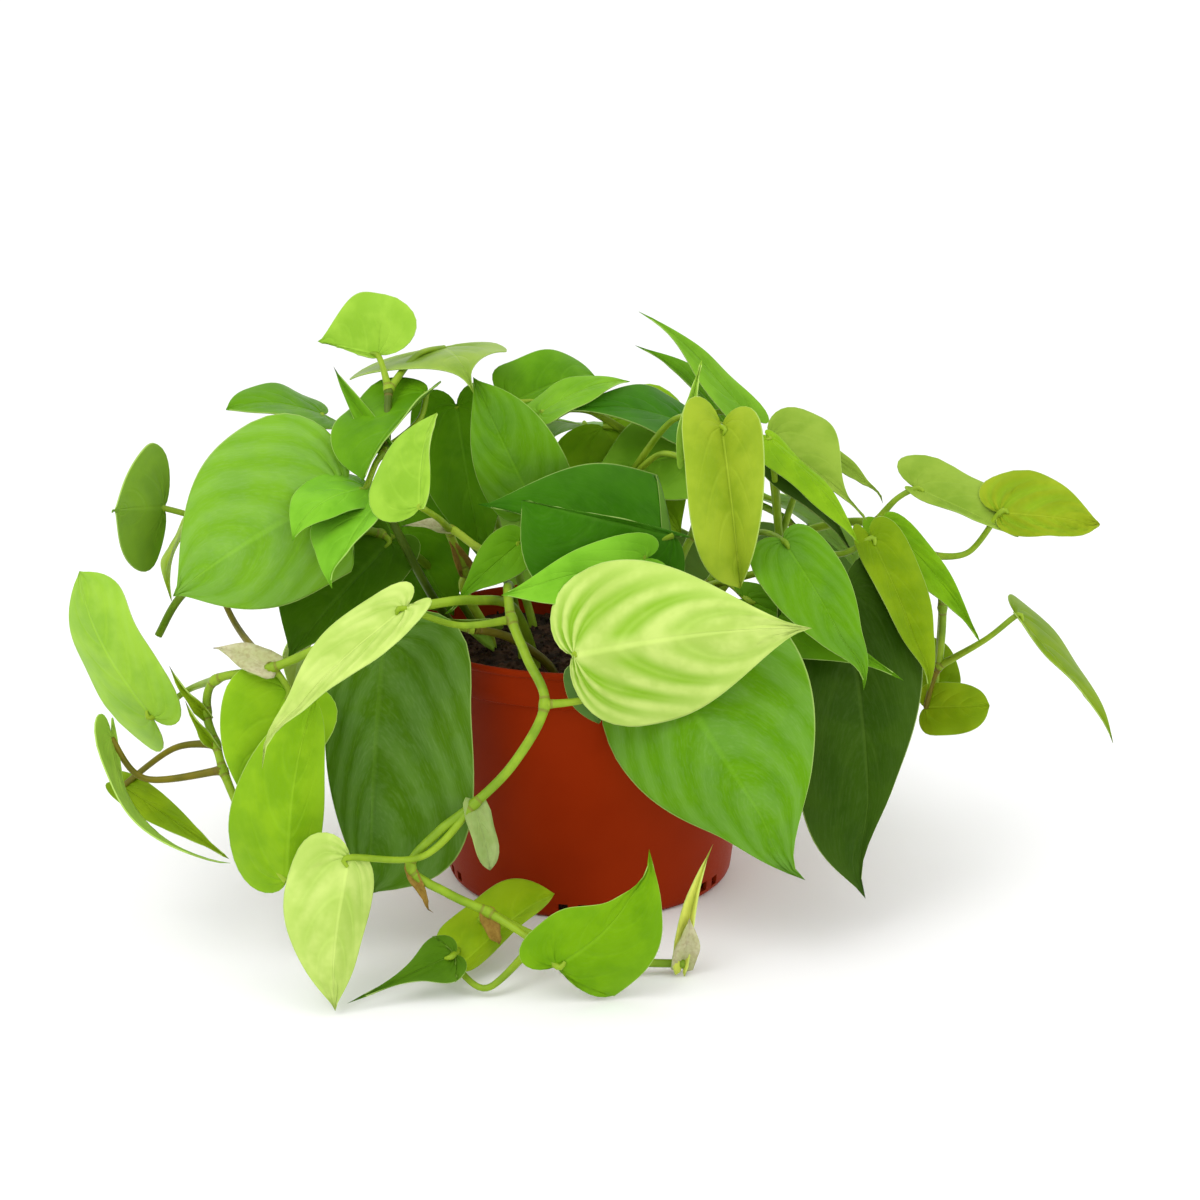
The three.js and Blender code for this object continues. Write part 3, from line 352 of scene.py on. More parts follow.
plan(
    "right",
    [[34, -14, 100], [48, -18, 128], [60, -16, 141], [78, -13, 146]],
    ["far_bronze", 3, [111, -40, 153], [131, -66, 98], [0.2, -0.95, 0.3],
     dict(wide=[0.42, 0.24], blunt=0.9, hook=0.03, via=[98, -38, 146], tone="olive")],
    ["right_front", 2, [74, -64, 157], [103, -86, 105], [0.2, -0.95, 0.3],
     dict(wide=[0.46, 0.56], blunt=[0.9, 0.5], lobe=0.6, drip=0.12, hook=0.04, dust_sheen_and_shade=0.3)],
    ["right_lime", 3, [71, -28, 191], [104, -56, 154], [0.5, -0.6, 0.6],
     dict(wide=[0.18, 0.3], blunt=0.9, lobe=0.6, drip=0.08, rise=8, drop=15, fold=[10, -30],
          tone="clear")],
    ["right_dark_small", 3, [73, 4, 182], [93, -10, 160], [0.2, -0.8, 0.5],
     dict(wide=[0.4, 0.5], drip=0.2, tone="deep")],
    ["right_back", 3, [73, -14, 189], [110, -36, 159], [0.2, -0.8, 0.6],
     dict(wide=[0.85, 0.2], blunt=[-0.6, 0.3], lobe=[1, 0.5], drip=0.06, rise=2, tone="grey")],
    ["right_mid", 3, [75, -12, 179], [105, -34, 145], [0.3, -0.8, 0.5],
     dict(wide=[0.2, 0.34], tone="night")],
    ["right_low", 1, [62, -52, 131], [120, -74, 105], [0.1, -0.9, 0.4],
     dict(wide=[0.24, 0.5], blunt=0.5, drip=0.2)],
    ["dark_right", 1, [100, -50, 134], [108, -80, 18], [0.2, -1, 0.1],
     dict(wide=[0.47, 0.5], blunt=[0.1, 2.3], drip=0.16, hook=-0.03, via=[82, -42, 142],
          tone="night")],
    ["right_tail", 3, [96, 6, 183], [122, 0, 159], [0.2, -0.8, 0.6],
     dict(wide=[0.26, 0.3], drip=0.2, rise=2, hook=0.04, tone="grey")],
)

# %% Plan the vine on the far right
plan(
    "far_right",
    [[46, 14, 100], [66, 14, 130], [92, 4, 147], [118, -6, 152], [140, -14, 140],
     [146, -14, 118], [148, -4, 90]],
    ["far_olive", 3, [134, -8, 167], [172, -28, 151], [0.2, -0.7, 0.7],
     dict(wide=[0.82, 0.18], blunt=[1.3, 0.8], lobe=[2.2, 0.8], drip=0.03, rise=2, drop=5,
          tone="grey")],
    ["far_yellow", 4, [165, -24, 160], [200, -42, 159], [0.1, -0.8, 0.6],
     dict(wide=[1.1, 0.42], blunt=[0.6, 1.8], lobe=[2.2, 0.3], drip=0.03, rise=5, drop=8,
          fold=[5, -20], via=[155, -16, 142], tone="yellow", band=0.5, pleat=1)],
    ["far_bright", 3, [120, -22, 155], [155, -46, 112], [0.3, -0.9, 0.3],
     dict(wide=[0.26, 0.38], lobe=[0.6, 1], tone="fresh", pleat=0.6)],
    ["far_edge", 6, [175, -22, 117], [210, -48, 71], [0.75, -0.35, 0.55],
     dict(wide=[0.62, 0.16], blunt=0.8, lobe=[1.2, 0.3], rise=4, drop=12, hook=0.04,
          via=[163, -20, 106], tone="olive")],
    ["far_low", 6, [145, 4, 69], [170, -6, 73], [0.1, -0.9, 0.3],
     dict(wide=[0.78, 0.9], blunt=1.8, drip=0.03, stalk="brown", tone="straw")],
    ["far_back", 5, [153, 24, 70], [150, 30, 94], [0, -1, 0.2],
     dict(wide=0.9, blunt=1.4, drip=0.05, tone="olive")],
)

# %% Plan the vines at the back
plan(
    "back_left",
    [[-26, 36, 100], [-40, 48, 135], [-62, 60, 148], [-90, 68, 136], [-108, 72, 112]],
    ["deep_inner", 1, [-56, 20, 197], [-44, 12, 128], [-0.1, -0.9, 0.3],
     dict(wide=0.6, blunt=0.6, via=[-50, 38, 176])],
    ["back_left_high", 1, [-52, 64, 172], [-86, 104, 150], [-0.4, 0.5, 0.8],
     dict(wide=0.85)],
    ["back_left_wide", 2, [-88, 52, 160], [-138, 64, 118], [-0.7, 0.2, 0.7],
     dict(wide=0.85, blunt=0.7, tone="dark")],
    ["back_left_low", 3, [-96, 84, 130], [-112, 114, 64], [-0.4, 0.9, 0.3],
     dict(wide=0.75, blunt=0.6)],
    ["back_left_tip", 4, [-122, 66, 100], [-140, 70, 48], [-0.9, 0.3, 0.2],
     dict(wide=0.75, tone="lime")],
)
plan(
    "back",
    [[4, 42, 100], [6, 62, 136], [2, 84, 138], [-6, 98, 118], [-10, 106, 92], [-6, 110, 66]],
    ["back_high", 1, [-2, 66, 182], [-22, 114, 166], [0, 0.4, 0.9],
     dict(wide=0.85)],
    ["back_middle", 2, [-20, 98, 140], [-38, 132, 76], [-0.2, 0.9, 0.4],
     dict(blunt=0.6, tone="bright")],
    ["back_dark", 3, [22, 104, 118], [38, 124, 40], [0.2, 1, 0.2],
     dict(blunt=0.7, tone="dark")],
    ["back_low", 5, [-20, 116, 60], [-42, 128, 8], [-0.3, 0.9, 0.4],
     dict(wide=0.75, tone="lime")],
)
plan(
    "back_right",
    [[32, 36, 100], [46, 50, 135], [66, 62, 148], [90, 70, 138], [110, 72, 114]],
    ["back_right_high", 1, [56, 66, 176], [86, 108, 152], [0.4, 0.5, 0.8],
     dict(wide=0.85)],
    ["back_right_wide", 2, [84, 54, 150], [128, 68, 106], [0.6, 0.3, 0.7],
     dict(wide=0.85, blunt=0.6, tone="bright")],
    ["back_right_low", 3, [96, 88, 126], [112, 114, 60], [0.4, 0.9, 0.3],
     dict(blunt=0.7, tone="dark")],
    ["back_right_tip", 4, [124, 66, 102], [146, 68, 50], [0.9, 0.2, 0.3],
     dict(wide=0.7)],
)

# %% [markdown]
# ## A flat heart
#
# The heart-shaped outline is two Bezier curves in units of the blade's length: one for
# the rounded lobe beside the stalk, and one for the taper to the tip. Rows run from the
# midrib out to the outline and bend forward on the way, just as the side veins do. So
# the row's number can later draw the veins, and its column the pale rim.

# %% Work out the heart's rows
WIDEST = 0.43
LOBE = ((0, 0), (-0.16, 0.03), (-0.21, WIDEST), (0.16, WIDEST))
SHOULDER = (0.72, 0.05)
SHOULDER_IF_BLUNT = (0.14, 0.22)
DRIP_ONSET = 6
DRIP_NARROWING = 2
LOBE_SHARE = 0.35


def bezier(ends, t):
    """A point of a cubic Bezier curve, for ends of any dimension."""
    ends = np.asarray(ends, dtype=float)
    s = 1 - t
    weights = np.array([s ** 3, 3 * s * s * t, 3 * s * t * t, t ** 3])
    return weights @ ends


def drawn_out(x, y, t, drip):
    """Pulls the end of the taper out into a drip tip, which is a share of the length."""
    x += drip * (t ** DRIP_ONSET - x)
    return x, y * (1 - math.exp(-DRIP_NARROWING * (1 - x) / drip))


def heart_rows(blunt, lobe, drip, lobe_rows, taper_rows):
    """Outline points from the notch round the lobe to the tip, as (x, y, ray)."""
    rounding = [(x * lobe if x < 0 else x, y) for x, y in LOBE]
    ahead, out = (at + more * blunt for at, more in zip(SHOULDER, SHOULDER_IF_BLUNT))
    taper = (LOBE[-1], (0.5, WIDEST), (min(ahead, 1), out), (1, 0))
    rows = []
    for i in range(lobe_rows):
        t = i / lobe_rows
        rows.append((*bezier(rounding, t), LOBE_SHARE * t))
    for i in range(taper_rows + 1):
        t = i / taper_rows
        rows.append((*drawn_out(*bezier(taper, t), t, drip),
                     LOBE_SHARE + (1 - LOBE_SHARE) * t))
    return rows


print("the tip of a usual heart:", heart_rows(0.3, 1, 0.1, 1, 1)[-1])

# %% Fill the heart with corners and faces
RIB_SLANT = 0.55
VEIN_BEND = 1.35
HEART_ROWS = (11, 22)
HEART_COLUMNS = (0, 0.05, 0.2, 0.38, 0.56, 0.74, 0.88, 0.97, 1)
SHEATH_ROWS = (4, 10)
SHEATH_COLUMNS = (0, 0.3, 0.65, 1)


def both_sides(value):
    """A leaf's two halves may have a number each, or share one."""
    return value if isinstance(value, (list, tuple)) else (value, value)


def flat_heart(blunt=0.3, lobe=1, drip=0.1, bare=False):
    """Corners as (x, out, ray, column) and faces of one flat heart, upper side up."""
    counts = SHEATH_ROWS if bare else HEART_ROWS
    halves = [heart_rows(b, l, drip, *counts)
              for b, l in zip(both_sides(blunt), both_sides(lobe))]
    # both halves leave the midrib at the same places, so that they join there
    ribs = [min(max(0, (left[0] + right[0] - RIB_SLANT * (left[1] + right[1])) / 2), 1)
            for left, right in zip(*halves)]
    columns = SHEATH_COLUMNS if bare else HEART_COLUMNS
    corners, lookup, faces = [], {}, []

    def corner(x, out, ray, column):
        key = (round(x, 5), round(out, 5))
        if key not in lookup:
            lookup[key] = len(corners)
            corners.append((x, out, ray, column))
        return lookup[key]

    for sign, rows in zip((1, -1), halves):
        grid = []
        for rib, (x, y, ray) in zip(ribs, rows):
            grid.append([corner(rib + c ** VEIN_BEND * (x - rib), sign * c * y / WIDEST,
                                ray, sign * c) for c in columns])
        for near, far in zip(grid, grid[1:]):
            for c in range(len(columns) - 1):
                ring = [near[c], far[c], far[c + 1], near[c + 1]]
                ring = ring if sign > 0 else ring[::-1]
                ring = list(dict.fromkeys(ring))
                if len(ring) > 2:
                    faces.append(ring)
    return np.array(corners), faces


corners, faces = flat_heart()
print("one flat heart has", len(corners), "corners and", len(faces), "faces")

# %% [markdown]
# ## From flat hearts to curved blades
#
# A real blade hangs from its midrib: the midrib arches, each half folds up or down beside
# it, and the margin waves a little. The script only stores what a leaf is (its four
# midrib points, its fold, its cup) on the points of the flat heart. A Geometry Nodes tree
# then applies one formula to all points at once. The same tree gives the sheet its
# thickness, so the pattern stays editable until the very end.

# %% Set a leaf's usual shape and the tones
# wide, sweep and hook are shares of the length, rise, drop, fold and cup are degrees, and
# wave and pleat are millimetres
# one of these numbers sets a leaf's dusty streaks and the strength of its painted sheen and
# painted shade
USUAL_SHAPE = {
    "wide": 0.8, "blunt": 0.3, "lobe": 1, "drip": 0.1, "rise": 15, "drop": 25, "fold": 12,
    "cup": -18, "sweep": 0, "hook": 0, "wave": 1.2, "pleat": 0.3, "band": 0, "dust_sheen_and_shade": 0,
    "tone": "mid", "stalk": "green", "bare": 0,
}
PAPER_TONES = {"sheath": 0.5, "husk": 0.15, "dry": 1.0}
PALETTE = {
    "night": (0.025, 0.070, 0.001),
    "deep": (0.060, 0.155, 0.002),
    "dark": (0.035, 0.160, 0.001),
    "mid": (0.105, 0.280, 0.003),
    "leaf": (0.175, 0.390, 0.018),
    "fresh": (0.155, 0.340, 0.002),
    "bright": (0.185, 0.460, 0.022),
    "clear": (0.230, 0.430, 0.008),
    "lime": (0.305, 0.530, 0.045),
    "pale": (0.530, 0.670, 0.170),
    "olive": (0.180, 0.290, 0.002),
    "straw": (0.270, 0.410, 0.006),
    "grey": (0.250, 0.380, 0.040),
    "yellow": (0.280, 0.370, 0.010),
    "maize": (0.305, 0.415, 0.022),
    "slate": (0.085, 0.185, 0.035),
    "young": (0.660, 0.700, 0.120),
    "husk": (0.300, 0.390, 0.140),
    "sheath": (0.560, 0.530, 0.330),
    "dry": (0.360, 0.210, 0.045),
}
print(len(PALETTE), "tones:", ", ".join(PALETTE))

# %% Describe each leaf by its attributes
MIDRIB_REACH = 0.38
PHASE_PER_MM = 0.1


def unit(vector):
    return vector / max(np.linalg.norm(vector), 1e-9)


def describe_leaf(row):
    """What all points of one leaf share, in metres and radians."""
    node, base, tip, face, special = row[1:]
    shape = {**USUAL_SHAPE, **special}
    base, tip, face = (np.array(place, float) for place in (base, tip, face))
    length = np.linalg.norm(tip - base)
    along = unit(tip - base)
    up = unit(face - along * face.dot(along))
    side = np.cross(up, along)
    rise, drop = math.radians(shape["rise"]), math.radians(shape["drop"])
    reach = MIDRIB_REACH * length
    leave = base + reach * (math.cos(rise) * along + math.sin(rise) * up)
    arrive = tip - reach * (math.cos(drop) * along - math.sin(drop) * up)
    bow = side * shape["sweep"] * length
    return {
        "shape": shape, "node": node,
        "vectors": {"base": base * MM, "leave": (leave + bow) * MM,
                    "arrive": (arrive + bow) * MM, "tip": tip * MM, "side": side,
                    "tone": PALETTE[shape["tone"]]},
        "numbers": {"length": length * MM, "wave": shape["wave"] * MM,
                    "hook": shape["hook"] * length * MM, "pleat": shape["pleat"] * MM,
                    "band": shape["band"], "dust_sheen_and_shade": shape["dust_sheen_and_shade"],
                    "paper": PAPER_TONES.get(shape["tone"], 0),
                    "phase": PHASE_PER_MM * base.sum()},
    }


described = {vine: [describe_leaf(row) for row in noted["leaves"]]
             for vine, noted in VINES.items()}
lengths = [round(leaf["numbers"]["length"], 3) for leaf in described["front"]]
print("lengths of the front vine's leaves in metres:", lengths)

# %% Put the flat hearts of one vine into one mesh
FLAT = 1e-6


def store(mesh, name, kind, values):
    """Writes one attribute, with a value for each point of the mesh."""
    attribute = mesh.attributes.new(name, kind, "POINT")
    key = "value" if kind == "FLOAT" else "vector"
    attribute.data.foreach_set(key, np.asarray(values, dtype=np.float32).ravel())


def for_points(shape, key, left):
    """A number that a leaf's halves may differ in, for each of its points."""
    return np.array(both_sides(shape[key]), float)[left]


def flat_hearts(name, leaves):
    """All flat hearts of a vine in one mesh, each point knowing its leaf's shape."""
    places, polygons, kept = [], [], {}
    for leaf in leaves:
        shape, numbers = leaf["shape"], leaf["numbers"]
        points, rings = flat_heart(*(shape[key] for key in ("blunt", "lobe", "drip", "bare")))
        polygons += [[corner + len(places) for corner in ring] for ring in rings]
        places += [(x, out, 0) for x, out, ray, column in points]
        left = (points[:, 1] < 0).astype(int)
        cup = np.radians(for_points(shape, "cup", left))
        values = {key: np.full(len(points), value) for key, value in numbers.items()}
        values.update(
            half=0.5 * for_points(shape, "wide", left) * numbers["length"],
            fold=np.radians(for_points(shape, "fold", left)),
            cup=np.where(cup == 0, FLAT, cup),
            phase=numbers["phase"] + left / math.pi,
            ray=points[:, 2], column=points[:, 3])
        for key, vector in leaf["vectors"].items():
            values[key] = np.tile(vector, (len(points), 1))
        for key, value in values.items():
            kept.setdefault(key, []).append(value)
    mesh = bpy.data.meshes.new(name)
    mesh.from_pydata(places, [], polygons)
    for key, parts in kept.items():
        kind = "FLOAT_VECTOR" if parts[0].ndim == 2 else "FLOAT"
        store(mesh, key, kind, np.concatenate(parts))
    return mesh


hearts = {vine: flat_hearts(f"{vine}_blades", leaves) for vine, leaves in described.items()}
print("the front vine's flat hearts have", len(hearts["front"].vertices), "points")

# %% Write the helpers that start a tree
def new_tree(name, inputs):
    """An empty Geometry Nodes tree with named inputs, and a way to read them."""
    tree = bpy.data.node_groups.new(name, "GeometryNodeTree")
    tree.interface.new_socket("Geometry", in_out="INPUT", socket_type="NodeSocketGeometry")
    for label, kind, value in inputs:
        socket = tree.interface.new_socket(label, in_out="INPUT", socket_type=kind)
        if value is not None:
            socket.default_value = value
    tree.interface.new_socket("Geometry", in_out="OUTPUT", socket_type="NodeSocketGeometry")
    entry = tree.nodes.new("NodeGroupInput")
    exit_node = tree.nodes.new("NodeGroupOutput")
    read = {socket.name: Wire(tree, socket) for socket in entry.outputs if socket.name}
    return tree, read, exit_node


def named(tree, name, kind="FLOAT"):
    """Reads an attribute that the mesh carries."""
    return add(tree, "GeometryNodeInputNamedAttribute", {"Name": name}, data_type=kind)


def paint_and_end(tree, shape, read, exit_node):
    """The last two nodes of a tree: smooth shading and the material."""
    smooth = add(tree, "GeometryNodeSetShadeSmooth", {"Geometry": shape})
    painted = add(tree, "GeometryNodeSetMaterial",
                  {"Geometry": smooth, "Material": read["Material"]})
    tree.links.new(painted.socket, exit_node.inputs[0])


print("a tree starts with named inputs and ends with a material")

# %% Write the helper that gives a sheet its thickness
WELD = 1e-6


def thicken(tree, sheet, thickness):
    """Adds the underside, which is the same sheet, pushed down and turned over."""
    pushed = tree.nodes.new("GeometryNodeExtrudeMesh")
    pushed.inputs["Individual"].default_value = False
    tree.links.new(sheet.socket, pushed.inputs["Mesh"])
    feed(tree, pushed.inputs["Offset Scale"], thickness * -1.0)
    marked = add(tree, "GeometryNodeStoreNamedAttribute",
                 {"Geometry": Wire(tree, pushed.outputs["Mesh"]), "Name": "under",
                  "Selection": Wire(tree, pushed.outputs["Top"]), "Value": 1.0},
                 data_type="FLOAT", domain="FACE")
    lower = add(tree, "GeometryNodeFlipFaces", {"Mesh": marked})
    joined = tree.nodes.new("GeometryNodeJoinGeometry")
    tree.links.new(lower.socket, joined.inputs[0])
    tree.links.new(sheet.socket, joined.inputs[0])
    return add(tree, "GeometryNodeMergeByDistance",
               {"Geometry": Wire(tree, joined.outputs[0]), "Distance": WELD})


print("a sheet gets an underside, welded on along its rim")

# %% Build the Geometry Nodes tree that curves the blades
HOOK_START = 0.64
HOOK_PEAK = 6.75
VEIN_BOW = 0.28
LEAF_VEINS = 6.0
BLADE_THICKNESS = 0.55 * MM
WAVES = 1.4


def curve_blades_tree():
    tree, read, exit_node = new_tree("curve_blades", (
        ("Thickness", "NodeSocketFloat", BLADE_THICKNESS),
        ("Veins", "NodeSocketFloat", LEAF_VEINS),
        ("Material", "NodeSocketMaterial", None),
    ))
    place = add(tree, "GeometryNodeInputPosition")
    parts = tree.nodes.new("ShaderNodeSeparateXYZ")
    tree.links.new(place.socket, parts.inputs[0])
    x, out = Wire(tree, parts.outputs[0]), Wire(tree, parts.outputs[1])
    base, leave, arrive, tip, side = (
        named(tree, key, "FLOAT_VECTOR") for key in ("base", "leave", "arrive", "tip", "side"))
    length, half, fold, cup, wave, phase, hook, pleat, ray, column = (
        named(tree, key) for key in
        ("length", "half", "fold", "cup", "wave", "phase", "hook", "pleat", "ray", "column"))

    # where the midrib is at t, and which way it runs there
    t = x.scalar("MAXIMUM", 0.0).scalar("MINIMUM", 1.0)
    s = 1.0 - t
    on_rib = (base * (s * s * s) + leave * (s * s * t * 3.0)
              + arrive * (s * t * t * 3.0) + tip * (t * t * t))
    tangent = ((leave - base) * (s * s) + (arrive - leave) * (s * t * 2.0)
               + (tip - arrive) * (t * t)).vector("NORMALIZE")
    across = (side - tangent * side.vector("DOT_PRODUCT", tangent)).vector("NORMALIZE")
    normal = tangent.vector("CROSS_PRODUCT", across)

    # each half is an arc that starts at the fold angle and turns by the cup angle
    away = out.scalar("ABSOLUTE")
    angle = fold + cup * away
    lateral = (angle.scalar("SINE") - fold.scalar("SINE")) * half / cup
    height = (fold.scalar("COSINE") - angle.scalar("COSINE")) * half / cup
    ripple = ((x * WAVES + phase) * (2 * math.pi)).scalar("SINE")
    line = ray + (1.0 - column * column) * VEIN_BOW
    quilt = ((line * read["Veins"] * (2 * math.pi)).scalar("COSINE")
             * (column * math.pi).scalar("SINE").scalar("ABSOLUTE") * pleat)
    raised = height + wave * away * away * ripple - quilt
    back = x.scalar("MINIMUM", 0.0) * length
    late = (t - HOOK_START).scalar("MAXIMUM", 0.0) * (1.0 / (1.0 - HOOK_START))
    aside = hook * late * late * (1.0 - late) * HOOK_PEAK
    moved = (on_rib + tangent * back + across * (lateral * out.scalar("SIGN"))
             + normal * raised + side * aside)
    upper = add(tree, "GeometryNodeSetPosition",
                {"Geometry": read["Geometry"], "Position": moved})
    paint_and_end(tree, thicken(tree, upper, read["Thickness"]), read, exit_node)
    return tree


blades_tree = curve_blades_tree()
print("the blade tree has", len(blades_tree.nodes), "nodes")

# %% [markdown]
# ## Stalks and stems
#
# Stems and leaf stalks are smooth rods that follow a path, so they are swept: a circle
# runs along a curve. The curve is a Catmull-Rom one, because it passes through every
# point of the plan. The rod swells near the stem points where leaves and sheaths grow,
# since that is where a vine has its joints, and the tree measures that distance itself.

# %% Build the Geometry Nodes tree that sweeps the stalks
CURVE_STEPS = 12


def sweep_stalks_tree():
    tree, read, exit_node = new_tree("sweep_stalks", (
        ("Sides", "NodeSocketInt", 12),
        ("Step", "NodeSocketFloat", 1.3 * MM),
        ("Swelling", "NodeSocketFloat", 0.3),
        ("Swollen length", "NodeSocketFloat", 2.2 * MM),
        ("Material", "NodeSocketMaterial", None),
    ))
    joints = add(tree, "GeometryNodeMeshToPoints",
                 {"Mesh": read["Geometry"], "Selection": named(tree, "joint")})
    lines = add(tree, "GeometryNodeMeshToCurve", {"Mesh": read["Geometry"]})
    typed = add(tree, "GeometryNodeCurveSplineType", {"Curve": lines},
                spline_type="CATMULL_ROM")
    fine = add(tree, "GeometryNodeSetSplineResolution",
               {"Geometry": typed, "Resolution": CURVE_STEPS})
    even = add(tree, "GeometryNodeResampleCurve", {"Curve": fine, "Length": read["Step"]},
               mode="LENGTH")

    # the rod is a little thicker beside a joint of its stem
    gap = tree.nodes.new("GeometryNodeProximity")
    gap.target_element = "POINTS"
    tree.links.new(joints.socket, gap.inputs[0])
    near = Wire(tree, gap.outputs["Distance"])
    swell = near / read["Swollen length"]
    swell = (swell * swell * -1.0).scalar("EXPONENT") * read["Swelling"] + 1.0
    stored = add(tree, "GeometryNodeStoreNamedAttribute",
                 {"Geometry": even, "Name": "joint_gap", "Value": near},
                 data_type="FLOAT", domain="POINT")
    circle = add(tree, "GeometryNodeCurvePrimitiveCircle",
                 {"Resolution": read["Sides"], "Radius": 1.0})
    swept = add(tree, "GeometryNodeCurveToMesh",
                {"Curve": stored, "Profile Curve": circle, "Fill Caps": True,
                 "Scale": named(tree, "thick") * swell})
    paint_and_end(tree, swept, read, exit_node)
    return tree


stalks_tree = sweep_stalks_tree()
print("the stalk tree has", len(stalks_tree.nodes), "nodes")

# %% Work out the path of a stalk
STALK_SINK = 3
STALK_LIFT = 0.12


def stalk_points(stem, leaf):
    """From the stem by a middle point to the blade, and a little way along its midrib."""
    midrib = [leaf["vectors"][key] / MM for key in ("base", "leave", "arrive", "tip")]
    start, end = np.array(stem[leaf["node"]], float), midrib[0]
    middle = (start + end) / 2 + [0, 0, STALK_LIFT * np.linalg.norm(end - start)]
    middle = np.array(leaf["shape"].get("via", middle), float)
    inside = bezier(midrib, STALK_SINK * MM / leaf["numbers"]["length"])
    path = [start, middle, end]
    if (end - middle).dot(inside - end) > 0:
        path.append(inside)
    return path


path = stalk_points(VINES["front"]["stem"], described["front"][0])
print("the first stalk passes", [point.round(1).tolist() for point in path])

# %% Describe the stems and stalks of one vine as lines
STEM_RADII = (2.0, 1.55)
STALK_RADII = (1.7, 1.25, 1.2, 0.6)
ROOT_DEPTH = 18
STEM_TONE = (0.270, 0.420, 0.018)
# painted shade and light: the upper_left, mid_left and dark_left stems are darkened for the shade
# inside the plant, and the inner vine's stem is lightened as painted light
SHADED_AND_LIT_STEM_TONES = {"upper_left": (0.090, 0.150, 0.006), "mid_left": (0.180, 0.290, 0.010),
                  "dark_left": (0.130, 0.110, 0.006), "inner": (0.420, 0.560, 0.040)}
STALK_TONES = {"green": (0.285, 0.430, 0.018), "brown": (0.200, 0.165, 0.008)}


def vine_lines(vine, stem, leaves):
    """One mesh of open lines: the stem first, then each leaf's stalk."""
    ground = np.array(stem[0], float)
    path = [ground - [0, 0, ROOT_DEPTH], *(np.array(p, float) for p in stem)]
    grown = {leaf["node"] for leaf in leaves} - {0}
    jointed = [0] + [int(node in grown) for node in range(len(stem))]
    # some vines' stems carry painted shade, and the inner one painted light
    stem_tone_and_painted_light = SHADED_AND_LIT_STEM_TONES.get(vine, STEM_TONE)
    lines = [(path, np.linspace(*STEM_RADII, len(path)), jointed, stem_tone_and_painted_light)]
    for leaf in leaves:
        if not leaf["shape"]["bare"]:
            path = stalk_points(stem, leaf)
            tone = STALK_TONES[leaf["shape"]["stalk"]]
            lines.append((path, STALK_RADII[:len(path)], [0] * len(path), tone))
    places, edges, radii, joints, tones = [], [], [], [], []
    for path, thick, joint, tone in lines:
        first = len(places)
        edges += [(first + i, first + i + 1) for i in range(len(path) - 1)]
        places += [tuple(point * MM) for point in path]
        radii += list(thick)
        joints += joint
        tones += [tone] * len(path)
    mesh = bpy.data.meshes.new(f"{vine}_stalks")
    mesh.from_pydata(places, edges, [])
    store(mesh, "thick", "FLOAT", np.array(radii) * MM)
    store(mesh, "joint", "FLOAT", joints)
    store(mesh, "tone", "FLOAT_VECTOR", tones)
    return mesh


paths = {vine: vine_lines(vine, VINES[vine]["stem"], leaves)
         for vine, leaves in described.items()}
print("the front vine's lines have", len(paths["front"].vertices), "points")

# %% [markdown]
# ## Materials
#
# A leaf's colour isn't even. It is lighter along the midrib and the side veins, dusty with
# a painted sheen between them and painted shade along them, pale at the very rim as painted
# light through the thin edge, and duller underneath. All of that comes from the numbers the
# blades carry, so a vein in the colour lies exactly on the fold in the shape.

# %% Write the helpers that start a material
def new_material(name):
    """A material with only its Principled shader, and that shader's node."""
    material = bpy.data.materials.new(name)
    material.use_nodes = True
    shader = material.node_tree.nodes["Principled BSDF"]
    return material, material.node_tree, shader


def carried(tree, name, kind="Fac"):
    """A number that the piece carries on its points, or a colour if the kind says so."""
    node = tree.nodes.new("ShaderNodeAttribute")
    node.attribute_name = name
    return Wire(tree, node.outputs[kind])


def object_place(tree):
    """The place on the object, in metres."""
    node = tree.nodes.new("ShaderNodeTexCoord")
    return Wire(tree, node.outputs["Object"])


def together(tree, *parts):
    """Three numbers as one vector."""
    node = tree.nodes.new("ShaderNodeCombineXYZ")
    for socket, part in zip(node.inputs, parts):
        tree.links.new(part.socket, socket)
    return Wire(tree, node.outputs[0])


print("a material can read its place and what its piece carries")

# %% Write the helpers that make patterns and relief
def noise(tree, place, size, detail=3.0, roughness=0.55):
    """Soft random patches of about the given size in metres, from 0 to 1."""
    node = tree.nodes.new("ShaderNodeTexNoise")
    tree.links.new(place.socket, node.inputs["Vector"])
    node.inputs["Scale"].default_value = 1.0 / size
    node.inputs["Detail"].default_value = detail
    node.inputs["Roughness"].default_value = roughness
    return Wire(tree, node.outputs[0])


def ramp(tree, value, low, high, out_low=0.0, out_high=1.0):
    """A smooth step of the value from low to high."""
    node = tree.nodes.new("ShaderNodeMapRange")
    node.interpolation_type = "SMOOTHSTEP"
    feed(tree, node.inputs[0], value)
    for socket, setting in zip(list(node.inputs)[1:5], (low, high, out_low, out_high)):
        socket.default_value = setting
    return Wire(tree, node.outputs[0])


def mix(tree, factor, first, second, way="MIX"):
    """Blends two colours."""
    node = tree.nodes.new("ShaderNodeMix")
    node.data_type = "RGBA"
    node.blend_type = way
    feed(tree, node.inputs[0], factor)
    for socket, colour in ((node.inputs[6], first), (node.inputs[7], second)):
        feed(tree, socket, colour if isinstance(colour, Wire) else (*colour, 1.0))
    return Wire(tree, node.outputs[2])


def bump(tree, shader, height, depth):
    """Fine relief: the height runs from 0 to 1, and the depth is in metres."""
    node = tree.nodes.new("ShaderNodeBump")
    tree.links.new(height.socket, node.inputs["Height"])
    node.inputs["Distance"].default_value = depth
    tree.links.new(node.outputs[0], shader.inputs["Normal"])


print("patterns, blends and relief are ready")

